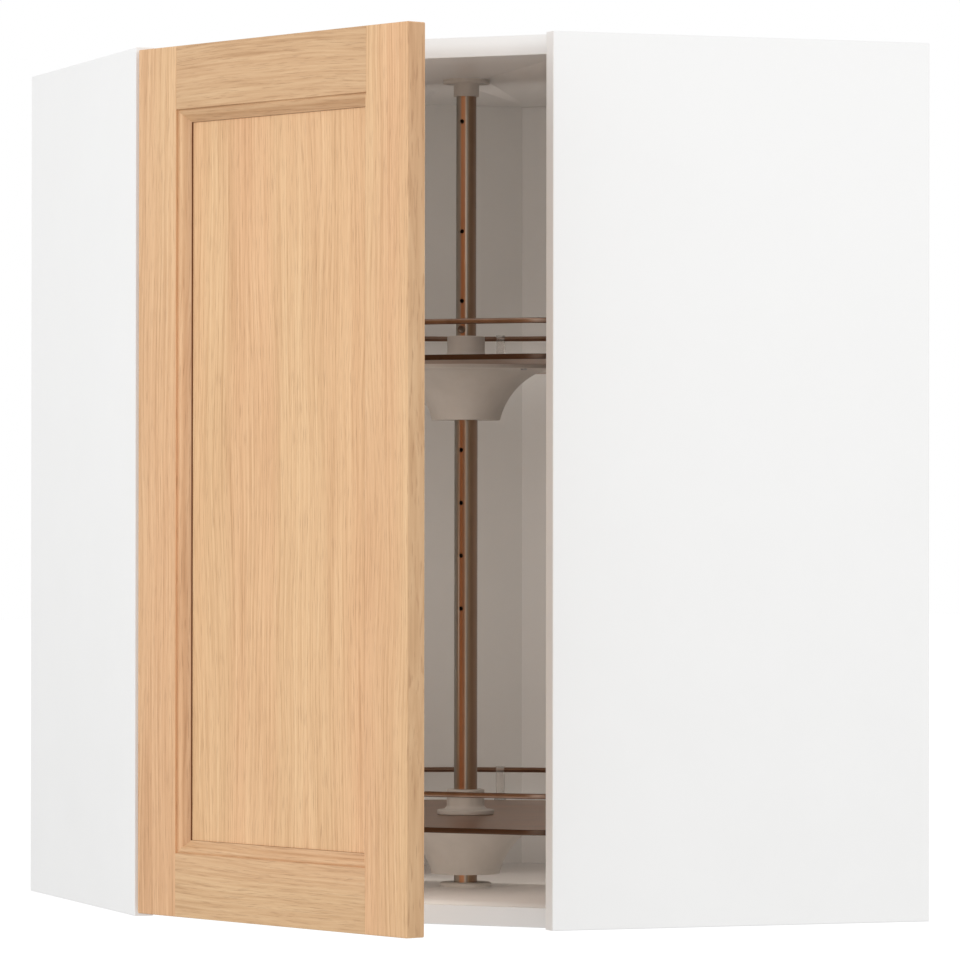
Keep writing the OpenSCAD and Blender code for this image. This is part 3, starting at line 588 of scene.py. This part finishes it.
bm = bmesh.new()
add_sheet(bm, PANEL_IN, PANEL_RECESS, PANEL_BACK)
round_edges(bm, lambda m, d: True, PANEL_EDGE, 2)
add_sheet(bm, TONGUE_IN, TONGUE_FRONT, TONGUE_BACK)
centre_panel = make_piece("visual_centre_panel", bm, door_place)
panel_oak = oak("oak_panel", "z", 7.9, PANEL_PITCH, STILE_RUN, 1.11)
finish_piece(centre_panel, panel_oak, "door", "oak", "door_centre_panel")

# ---------------------------------------------------------------- Hinges and bumpers
# Two concealed hinges of plated steel: a cup in the door, and an arm on a plate that is screwed to
# the left side panel. Two clear rubber bumpers are stuck on the free stile's inner face.
HINGE_PARTS = {"hinge_plate": "cabinet", "hinge_arm": "cabinet", "hinge_cup": "door", "hinge_link": "door"}
for height in ("upper", "lower"):
    for part, body in HINGE_PARTS.items():
        cad_node = height + "_" + part
        finish_piece(smoothed(cad_node), zinc, body, "zinc_steel", cad_node)

HINGE_HEIGHTS = (0.100, 0.700)
# The screws' seats, and how far the paired ones lie above and below the hinge's middle
ARM_SEAT, PLATE_SEAT, PLATE_APART = (-0.0145, -0.2925), (-0.0095, -0.3115), 0.018
CUP_SEAT, CUP_APART = (-0.001, 0.032), 0.0225
PLATE_SCREW = (0.0035, 0.002, 0.00155, 0.0128)
ARM_SCREW = (0.0045, 0.002, 0.0025, 0.0180)
CUP_SCREW = (0.0030, 0.0014, 0.00155, 0.0105)
plate_spots, arm_spots, cup_spots = [], [], []
for z in HINGE_HEIGHTS:
    arm_spots.append((Vector((*ARM_SEAT, z)) + CABINET_AT, (0, 1, 0)))
    for side in (-1, 1):
        plate_spots.append((Vector((*PLATE_SEAT, z + side * PLATE_APART)) + CABINET_AT, (0, 1, 0)))
        spot = door_place @ Vector((*CUP_SEAT, z - DOOR_LIFT + side * CUP_APART))
        cup_spots.append((spot, door_place.to_3x3() @ Vector((-1, 0, 0))))
drive_screws("hinge_plate_screws", "cabinet", plate_spots, PLATE_SCREW)
drive_screws("hinge_arm_screws", "cabinet", arm_spots, ARM_SCREW)
drive_screws("hinge_cup_screws", "door", cup_spots, CUP_SCREW)


def moulded(name, pale, dark, rough_low, rough_high):
    """Moulded plastic or rubber: a soft mottle and a fine spark-eroded texture."""
    material, tree, shader = new_material(name, rough_low)
    place = object_coordinates(tree)
    cloud = noise(tree, place, 40.0, 3.0, 0.6)
    tree.links.new(ramp(tree, cloud, [(0.3, dark), (0.7, pale)]), shader.inputs["Base Color"])
    tree.links.new(spread(tree, cloud, rough_low, rough_high), shader.inputs["Roughness"])
    bump(tree, shader, noise(tree, place, 1800.0), 0.00005, 0.6)
    return material


RUBBER_PALE = (0.75, 0.75, 0.75, 1)
RUBBER_DARK = (0.66, 0.66, 0.66, 1)
bumper_rubber = moulded("clear_rubber", RUBBER_PALE, RUBBER_DARK, 0.2, 0.3)
finish_piece(smoothed("door_bumpers"), bumper_rubber, "door", "clear_rubber", "door_bumpers")

# ---------------------------------------------------------------- Post
# Drawn steel tubes with a bronze-toned bright finish. The upper tube slides in the lower one, where
# the clamp screw holds it, and an inner sleeve joins the top tube to it.
# Painted reflection: streaks of warm and cool brown round the tube stand in for the oak door and the
# cabinet's inside reflected in it: (share of a turn, colour)
POST_PAINTED_REFLECTION = [
    (0.000, (0.46, 0.37, 0.30, 1)), (0.196, (0.23, 0.19, 0.16, 1)), (0.284, (0.50, 0.44, 0.38, 1)),
    (0.343, (0.56, 0.47, 0.38, 1)), (0.366, (0.80, 0.44, 0.27, 1)), (0.418, (0.80, 0.46, 0.30, 1)),
    (0.440, (0.58, 0.50, 0.42, 1)), (0.462, (0.30, 0.25, 0.21, 1)), (0.490, (0.44, 0.31, 0.20, 1)),
    (0.540, (0.40, 0.27, 0.19, 1)), (0.607, (0.37, 0.26, 0.20, 1)), (0.700, (0.25, 0.20, 0.16, 1)),
    (1.000, (0.46, 0.37, 0.30, 1))]
POST_ROUGH = 0.30
SCREW_PALE = (0.40, 0.34, 0.28, 1)
SCREW_DARK = (0.22, 0.18, 0.15, 1)


def reflection_painted_metal(name, streaks, roughness):
    """Drawn metal with a painted reflection: its tone changes round the upright axis, in streaks that
    waver a little.
    """
    material, tree, shader = new_material(name, roughness, 1.0)
    place = object_coordinates(tree)
    axes = node(tree, "ShaderNodeSeparateXYZ", {0: place}).outputs
    angle = node(tree, "ShaderNodeMath", {0: axes["Y"], 1: axes["X"]}, operation="ARCTAN2").outputs[0]
    turn = node(tree, "ShaderNodeMapRange", {
        "Value": angle, "From Min": -math.pi, "From Max": math.pi}).outputs["Result"]
    waver = noise(tree, object_coordinates(tree, scale=(90, 90, 1.2)), 1.0, 3.0, 0.6)
    inputs = {0: turn, 1: spread(tree, waver, -0.012, 0.012)}
    turn = node(tree, "ShaderNodeMath", inputs, operation="ADD").outputs[0]
    tree.links.new(ramp(tree, turn, streaks), shader.inputs["Base Color"])
    tree.links.new(spread(tree, waver, roughness - 0.04, roughness + 0.06), shader.inputs["Roughness"])
    lines = noise(tree, object_coordinates(tree, scale=(1, 1, 0.02)), 3000.0, 2.0)
    bump(tree, shader, lines, 0.00001, 0.3)
    return material


post_metal = reflection_painted_metal("post_metal", POST_PAINTED_REFLECTION, POST_ROUGH)
for tube in ("post_lower_tube", "post_upper_tube", "post_top_tube"):
    finish_piece(smoothed(tube), post_metal, "cabinet", "post_chrome", tube)
dark_zinc = plated("dark_zinc_plate", SCREW_PALE, SCREW_DARK, 0.35)
finish_piece(smoothed("post_clamp_screw"), dark_zinc, "cabinet", "zinc_steel", "post_clamp_screw")
for part in ("post_joint_sleeve", "support_pins", "foot_screws", "bearing_screws"):
    finish_piece(smoothed(part), zinc, "cabinet", "zinc_steel", part)

# ---------------------------------------------------------------- Foot, bearing and collars
# Light grey acetal mouldings: the foot and the top bearing are screwed down, and the collars
# under the trays are pinned through the post.
GREY_PALE = (0.70, 0.665, 0.625, 1)
GREY_DARK = (0.64, 0.605, 0.565, 1)
grey_plastic = moulded("grey_plastic", GREY_PALE, GREY_DARK, 0.42, 0.55)
for part in ("post_foot", "top_bearing", "lower_support_collar", "upper_support_collar"):
    finish_piece(smoothed(part), grey_plastic, "cabinet", "grey_plastic", part)

# ---------------------------------------------------------------- Trays
# Each tray is a 5 mm bronze-toned metal sheet with a straight front and round corners. Its cut rim
# is eased, and a dark band painted round it stands in for the shaded door reflected in the edge. The hub
# passes through the hole in the middle.
TRAY_HEIGHTS = {"lower": 0.081, "upper": 0.510}
TRAY_R, TRAY_FRONT, TRAY_CORNER_R, TRAY_T = 0.275, 0.214, 0.040, 0.005
TRAY_HOLE_R = 0.0147
TRAY_EDGE = 0.0008
# Width of the band of painted reflection round the rim, and the first and last rings of points in it
RIM_W, RIM_FIRST, RIM_LAST = 0.0010, 2, 7
CORNER_X = TRAY_FRONT - TRAY_CORNER_R
CORNER_Y = math.sqrt((TRAY_R - TRAY_CORNER_R) ** 2 - CORNER_X ** 2)
CORNER_A = math.atan2(CORNER_Y, CORNER_X)
FRONT_A = math.atan2(CORNER_Y, TRAY_FRONT)
FRONT_TURN = math.radians(-45)
TRAY_PALE = (0.45, 0.275, 0.190, 1)
TRAY_DARK = (0.33, 0.195, 0.130, 1)
# The colour of the painted reflection on the rim
TRAY_RIM_PAINTED_REFLECTION = (0.135, 0.086, 0.062, 1)


def outline_angles(front_steps=12, corner_steps=16, back_steps=100):
    """Angles from the front round the tray, close together at the two front corners."""
    half = [FRONT_A * i / front_steps for i in range(front_steps)]
    half += [FRONT_A + (CORNER_A - FRONT_A) * i / corner_steps for i in range(corner_steps)]
    half += [CORNER_A + (math.pi - CORNER_A) * i / back_steps for i in range(back_steps + 1)]
    return half + [-a for a in reversed(half[1:-1])]


def tray_reach(angle, inset):
    """Distance from the axis to the tray's outline, moved inward by inset."""
    a = abs(angle)
    if a >= CORNER_A:
        return TRAY_R - inset
    if a <= FRONT_A:
        return (TRAY_FRONT - inset) / math.cos(a)
    middle = CORNER_X * math.cos(a) + CORNER_Y * math.sin(a)
    spare = middle ** 2 - CORNER_X ** 2 - CORNER_Y ** 2 + (TRAY_CORNER_R - inset) ** 2
    return middle + math.sqrt(max(spare, 0.0))


def turned(name, section, angles):
    """A closed section carried round the upright axis. Its points are (radius, height), or
    ("edge", inset, height) where they follow the tray's outline."""
    bm = bmesh.new()
    rings = []
    for point in section:
        ring = []
        for a in angles:
            r = tray_reach(a, point[1]) if point[0] == "edge" else point[0]
            turn = a + FRONT_TURN
            ring.append(bm.verts.new((r * math.cos(turn), r * math.sin(turn), point[-1])))
        rings.append(ring)
    for i, ring in enumerate(rings):
        after = rings[(i + 1) % len(rings)]
        for j in range(len(angles)):
            k = (j + 1) % len(angles)
            bm.faces.new((ring[j], ring[k], after[k], after[j]))
    return make_piece(name, bm, None, 35)


def brushed_sheet(name, pale, dark, roughness):
    """Bright sheet metal: long rolling streaks, a cloudy tint and uneven gloss."""
    material, tree, shader = new_material(name, roughness, 1.0)
    along = object_coordinates(tree, (0, 0, -FRONT_TURN), (30.0, 1.6, 1.0))
    streaks = noise(tree, along, 1.0, 4.0, 0.65)
    cloud = noise(tree, object_coordinates(tree), 12.0, 3.0, 0.6)
    both = node(tree, "ShaderNodeMath", {0: streaks, 1: cloud}, operation="ADD").outputs[0]
    tone = node(tree, "ShaderNodeMath", {0: both, 1: 0.5}, operation="MULTIPLY").outputs[0]
    # Painted reflection: the rim band is darkened, standing in for the shaded door reflected in the edge
    rim = node(tree, "ShaderNodeAttribute", attribute_name="rim").outputs["Fac"]
    colours = colour_mix(tree, rim, ramp(tree, tone, [(0.38, dark), (0.62, pale)]), TRAY_RIM_PAINTED_REFLECTION)
    tree.links.new(colours, shader.inputs["Base Color"])
    tree.links.new(spread(tree, tone, roughness - 0.06, roughness + 0.08), shader.inputs["Roughness"])
    bump(tree, shader, streaks, 0.00002, 0.4)
    return material


tray_metal = brushed_sheet("tray_metal", TRAY_PALE, TRAY_DARK, 0.34)
round_tray = outline_angles()
bend = TRAY_EDGE * (1 - math.sqrt(0.5))
for height, z in TRAY_HEIGHTS.items():
    top = z + TRAY_T
    section = [
        (TRAY_HOLE_R, z), ("edge", RIM_W, z), ("edge", TRAY_EDGE, z), ("edge", bend, z + bend),
        ("edge", 0, z + TRAY_EDGE), ("edge", 0, top - TRAY_EDGE), ("edge", bend, top - bend),
        ("edge", TRAY_EDGE, top), ("edge", RIM_W, top), (TRAY_HOLE_R, top)]
    tray = turned("visual_" + height + "_tray", section, round_tray)
    # The band of painted reflection on the rim
    rim = tray.data.attributes.new("rim", "FLOAT", "POINT")
    for i in range(RIM_FIRST * len(round_tray), (RIM_LAST + 1) * len(round_tray)):
        rim.data[i].value = 1.0
    finish_piece(tray, tray_metal, height + "_carousel", "tray_sheet", height + "_tray")

# ---------------------------------------------------------------- Hubs and bowls
# Under each tray a concave-sided acetal bowl is screwed to the sheet, and a flanged hub of the same
# plastic passes through both and turns on the post.
ROUND_STEPS = 144
HUB_BORE, HUB_SLEEVE, HUB_FLANGE, HUB_NECK = 0.01108, 0.0145, 0.027, 0.0178
HUB_RISE, HUB_DROP = 0.024, 0.022
# The flange's thickness, the foot and the top of the neck's flare above it, and how far it flares
FLANGE_T, FLARE_FOOT, FLARE_TOP, FLARE_W = 0.0047, 0.0053, 0.0078, 0.0026
HUB_EDGE = 0.0014
BOWL_DEPTH, BOWL_RIM_R, BOWL_RIM_T, BOWL_WALL = 0.0506, 0.103, 0.0037, 0.0025
BOWL_FOOT_HOLE, BOWL_EDGE = 0.0116, 0.0005
BOWL_SCREW = (0.0032, 0.0015, 0.00155, 0.0080)
BOWL_SCREW_R, BOWL_SCREW_TURNS = 0.095, (60, 180, 300)
# The centre and radius of the side's concave curve, as (distance from the axis, depth under the tray)
SIDE_CENTRE_R, SIDE_CENTRE_Z, SIDE_R = 0.0968, 0.0654, 0.0662
full_turn = [2 * math.pi * i / ROUND_STEPS for i in range(ROUND_STEPS)]


def eased(points, width):
    """The section with each corner cut back by width and bent round."""
    out = []
    for i, point in enumerate(points):
        here = Vector(point)
        back, on = Vector(points[i - 1]), Vector(points[(i + 1) % len(points)])
        cut = min(width, (back - here).length * 0.45, (on - here).length * 0.45)
        a = here + (back - here).normalized() * cut
        b = here + (on - here).normalized() * cut
        for t in (0.0, 0.25, 0.5, 0.75, 1.0):
            out.append(tuple(a * (1 - t) ** 2 + here * 2 * t * (1 - t) + b * t ** 2))
    return out


def bowl_side(z, low, high, wall, steps=16):
    """The concave side from one depth under the tray to another, moved inward by a wall."""
    points = []
    for i in range(steps + 1):
        drop = low + (high - low) * i / steps
        rise = SIDE_CENTRE_Z - drop
        points.append((SIDE_CENTRE_R - math.sqrt((SIDE_R + wall) ** 2 - rise ** 2), z - drop))
    return points


for height, z in TRAY_HEIGHTS.items():
    body = height + "_carousel"
    base = z + TRAY_T
    hub = [(HUB_BORE, z - HUB_DROP), (HUB_SLEEVE, z - HUB_DROP), (HUB_SLEEVE, base), (HUB_FLANGE, base),
           (HUB_FLANGE, base + FLANGE_T), (HUB_NECK + FLARE_W, base + FLARE_FOOT),
           (HUB_NECK, base + FLARE_TOP), (HUB_NECK, base + HUB_RISE), (HUB_BORE, base + HUB_RISE)]
    hub_piece = turned("visual_" + height + "_hub", eased(hub, HUB_EDGE), full_turn)
    finish_piece(hub_piece, grey_plastic, body, "grey_plastic", height + "_hub")
    under = z - BOWL_RIM_T
    shell = [(BOWL_FOOT_HOLE, z - BOWL_DEPTH)] + bowl_side(z, BOWL_DEPTH, BOWL_RIM_T, 0.0)
    shell += [(BOWL_RIM_R - BOWL_EDGE, under), (BOWL_RIM_R, under + BOWL_EDGE), (BOWL_RIM_R, z),
              (TRAY_HOLE_R, z), (TRAY_HOLE_R, under)]
    shell += bowl_side(z, BOWL_RIM_T, BOWL_DEPTH - BOWL_WALL, BOWL_WALL)
    shell += [(BOWL_FOOT_HOLE, z - BOWL_DEPTH + BOWL_WALL)]
    bowl_piece = turned("visual_" + height + "_bowl", shell, full_turn)
    finish_piece(bowl_piece, grey_plastic, body, "grey_plastic", height + "_bowl")
    spots = []
    for turn in BOWL_SCREW_TURNS:
        a = math.radians(turn) + FRONT_TURN
        seat = Vector((BOWL_SCREW_R * math.cos(a), BOWL_SCREW_R * math.sin(a), under))
        spots.append((seat, (0, 0, -1)))
    drive_screws(height + "_bowl_screws", body, spots, BOWL_SCREW)

# ---------------------------------------------------------------- Rails and their posts
# A bright 5 mm rod follows each tray's edge 30 mm above it, held by six clear moulded posts that
# are plugged into the sheet.
ROD_R, ROD_INSET, ROD_RISE = 0.0025, 0.003, 0.030
RAIL_POST_EDGE, RAIL_POST_SHORTEST = 0.0005, 0.007
ROD_PALE = (0.42, 0.290, 0.220, 1)
ROD_DARK = (0.30, 0.200, 0.148, 1)
CLEAR_PALE = (0.92, 0.91, 0.90, 1)
CLEAR_DARK = (0.86, 0.85, 0.83, 1)


def rod_tree():
    """A round rod along a closed path."""
    tree, given = open_tree("bent_rod", ("Rod radius",))
    path = node(tree, "GeometryNodeMeshToCurve", {"Mesh": given["Geometry"]}).outputs["Curve"]
    disc = node(tree, "GeometryNodeCurvePrimitiveCircle", {
        "Resolution": 24, "Radius": given["Rod radius"]}).outputs["Curve"]
    rod = node(tree, "GeometryNodeCurveToMesh", {"Curve": path, "Profile Curve": disc}).outputs["Mesh"]
    close_tree(tree, rod, given["Metal"])
    return tree


def bright_rod(name, pale, dark, roughness):
    """Polished rod with a cloudy warm tint."""
    material, tree, shader = new_material(name, roughness, 1.0)
    cloud = noise(tree, object_coordinates(tree), 35.0, 3.0, 0.6)
    tree.links.new(ramp(tree, cloud, [(0.3, dark), (0.7, pale)]), shader.inputs["Base Color"])
    tree.links.new(spread(tree, cloud, roughness, roughness + 0.08), shader.inputs["Roughness"])
    bump(tree, shader, noise(tree, object_coordinates(tree), 1500.0), 0.00001, 0.3)
    return material


def clear_moulding():
    """Clear polycarbonate with a faint smoky tint and a fine moulded skin."""
    material, tree, shader = new_material("clear_plastic", 0.12)
    place = object_coordinates(tree)
    cloud = noise(tree, place, 60.0)
    tree.links.new(ramp(tree, cloud, [(0.3, CLEAR_DARK), (0.7, CLEAR_PALE)]), shader.inputs["Base Color"])
    tree.links.new(spread(tree, cloud, 0.08, 0.18), shader.inputs["Roughness"])
    shader.inputs["Transmission Weight"].default_value = 0.85
    shader.inputs["IOR"].default_value = 1.45
    bump(tree, shader, noise(tree, place, 900.0), 0.00002, 0.3)
    return material


BENT_ROD = rod_tree()
rod_metal = bright_rod("rod_metal", ROD_PALE, ROD_DARK, 0.30)
clear_plastic = clear_moulding()
for height, z in TRAY_HEIGHTS.items():
    body = height + "_carousel"
    rod_z = z + TRAY_T + ROD_RISE
    stops = []
    for a in round_tray:
        r, turn = tray_reach(a, ROD_INSET), a + FRONT_TURN
        stops.append((r * math.cos(turn), r * math.sin(turn), rod_z))
    path = bpy.data.meshes.new(height + "_path")
    path.from_pydata(stops, [(i, (i + 1) % len(stops)) for i in range(len(stops))], [])
    values = {"Rod radius": ROD_R, "Metal": rod_metal}
    rod = grown("visual_" + height + "_rail", path, BENT_ROD, values)
    rod.data.shade_smooth()
    finish_piece(rod, rod_metal, body, "rail_chrome", height + "_rail")
    posts = softened(height + "_rail_posts", RAIL_POST_EDGE, RAIL_POST_SHORTEST)
    finish_piece(posts, clear_plastic, body, "clear_plastic", height + "_rail_posts")

# ---------------------------------------------------------------- Floor, light and camera
# A pale floor half a metre under the hanging cabinet, an even studio dome and two soft panels.
# The camera stands where the photograph was taken from.
FLOOR_Z, FLOOR_REACH = -0.5, 40.0
FLOOR_GREY, FLOOR_GLOW = 0.68, 0.48
DOME = 0.82
# Soft panels of light: (place, target, size, power)
STUDIO_LAMPS = {
    "key": ((1.5, -3.2, 1.3), (0, 0, 0.4), (2.0, 2.0), 31),
    "fill": ((3.4, 1.5, 1.2), (0, 0, 0.4), (1.6, 1.6), 20),
}
# The same inside the cabinet and in its opening, out of sight of the camera and the metal
INNER_TINT = (1.0, 0.925, 0.84)
INNER_LAMPS = {
    "from_door": ((0.1485, -0.2333, 0.36), (-0.0175, 0.2370, 0.36), (0.24, 0.62), 0.42),
    "to_back": ((-0.021, 0.021, 0.42), (-0.3, 0.3, 0.42), (0.36, 0.60), 0.34),
    "to_ceiling": ((0.0, 0.0, 0.55), (0.0, 0.0, 0.80), (0.40, 0.40), 0.03),
    "under_tray": ((0.03, -0.03, 0.079), (0.03, -0.03, 0.0), (0.42, 0.42), 0.23),
    "over_floor": ((0.166, -0.166, 0.050), (-0.2, 0.2, 0.05), (0.40, 0.05), 0.05),
    "under_back": ((-0.035, 0.035, 0.050), (-0.3, 0.3, 0.05), (0.36, 0.05), 0.04),
}
floor_mesh = bpy.data.meshes.new("floor")
corners = [(x * FLOOR_REACH, y * FLOOR_REACH, FLOOR_Z) for x, y in ((-1, -1), (1, -1), (1, 1), (-1, 1))]
floor_mesh.from_pydata(corners, [], [(0, 1, 2, 3)])
floor = put_in_scene("floor", floor_mesh)
floor_paint, tree, shader = new_material("floor_paint", 0.9)
shader.inputs["Base Color"].default_value = (FLOOR_GREY, FLOOR_GREY, FLOOR_GREY, 1)
# The camera sees the floor a little brighter than the light makes it, and its shadow stays
glow = node(tree, "ShaderNodeEmission", {"Color": (1, 1, 1, 1), "Strength": FLOOR_GLOW})
seen = node(tree, "ShaderNodeLightPath").outputs["Is Camera Ray"]
nothing = node(tree, "ShaderNodeEmission", {"Color": (0, 0, 0, 1), "Strength": 0.0})
lit = node(tree, "ShaderNodeMixShader", {0: seen, 1: nothing.outputs[0], 2: glow.outputs[0]})
both = node(tree, "ShaderNodeAddShader", {0: shader.outputs[0], 1: lit.outputs[0]})
tree.links.new(both.outputs[0], tree.nodes["Material Output"].inputs["Surface"])
floor_mesh.materials.append(floor_paint)

world = bpy.data.worlds.new("studio")
bpy.context.scene.world = world
world.use_nodes = True
tree = world.node_tree
tree.nodes.clear()
paths = node(tree, "ShaderNodeLightPath")
bright = paths.outputs["Is Camera Ray"]
for kind in ("Is Glossy Ray", "Is Transmission Ray"):
    inputs = {0: bright, 1: paths.outputs[kind]}
    bright = node(tree, "ShaderNodeMath", inputs, operation="MAXIMUM").outputs[0]
dome = node(tree, "ShaderNodeBackground", {"Color": (1, 1, 1, 1), "Strength": DOME})
white = node(tree, "ShaderNodeBackground", {"Color": (1, 1, 1, 1), "Strength": 1.0})
chosen = node(tree, "ShaderNodeMixShader", {0: bright, 1: dome.outputs[0], 2: white.outputs[0]})
node(tree, "ShaderNodeOutputWorld", {"Surface": chosen.outputs[0]})


def soft_panel(name, place, target, size, power):
    """A soft light that faces target."""
    light = bpy.data.lights.new(name, "AREA")
    light.shape = "RECTANGLE"
    light.size, light.size_y = size
    light.energy = power
    lamp = put_in_scene(name, light)
    lamp.location = place
    lamp.rotation_mode = "QUATERNION"
    lamp.rotation_quaternion = (Vector(place) - Vector(target)).to_track_quat("Z", "Y")
    return lamp


for name, lamp_values in STUDIO_LAMPS.items():
    soft_panel(name, *lamp_values)
for name, lamp_values in INNER_LAMPS.items():
    lamp = soft_panel(name, *lamp_values)
    lamp.data.color = INNER_TINT
    lamp.visible_camera = False
    lamp.visible_glossy = False

CAMERA_AT = Vector((4.96456, -1.76389, 0.36766)) + CABINET_AT
AZIMUTH = math.radians(19.734)
PITCH = math.radians(0.3805)
ROLL = math.radians(0.0652)
FOCAL_PX = 5565.36
FRAME_PX = 960
SENSOR_MM = 36
NEAREST, FARTHEST = 0.05, 200
camera_data = bpy.data.cameras.new("camera")
camera_data.sensor_width = SENSOR_MM
camera_data.lens = FOCAL_PX / FRAME_PX * SENSOR_MM
camera_data.clip_start, camera_data.clip_end = NEAREST, FARTHEST
camera = put_in_scene("camera", camera_data)
level_ahead = Vector((-math.cos(AZIMUTH), math.sin(AZIMUTH), 0))
ahead = level_ahead * math.cos(PITCH) + Vector((0, 0, math.sin(PITCH)))
right = ahead.cross(Vector((0, 0, 1))).normalized()
up = right.cross(ahead)
rolled_right = right * math.cos(ROLL) + up * math.sin(ROLL)
rolled_up = up * math.cos(ROLL) - right * math.sin(ROLL)
camera.matrix_world = Matrix((
    (rolled_right.x, rolled_up.x, -ahead.x, CAMERA_AT.x),
    (rolled_right.y, rolled_up.y, -ahead.y, CAMERA_AT.y),
    (rolled_right.z, rolled_up.z, -ahead.z, CAMERA_AT.z),
    (0, 0, 0, 1),
))
bpy.context.scene.camera = camera
bpy.context.scene.view_settings.view_transform = "Standard"
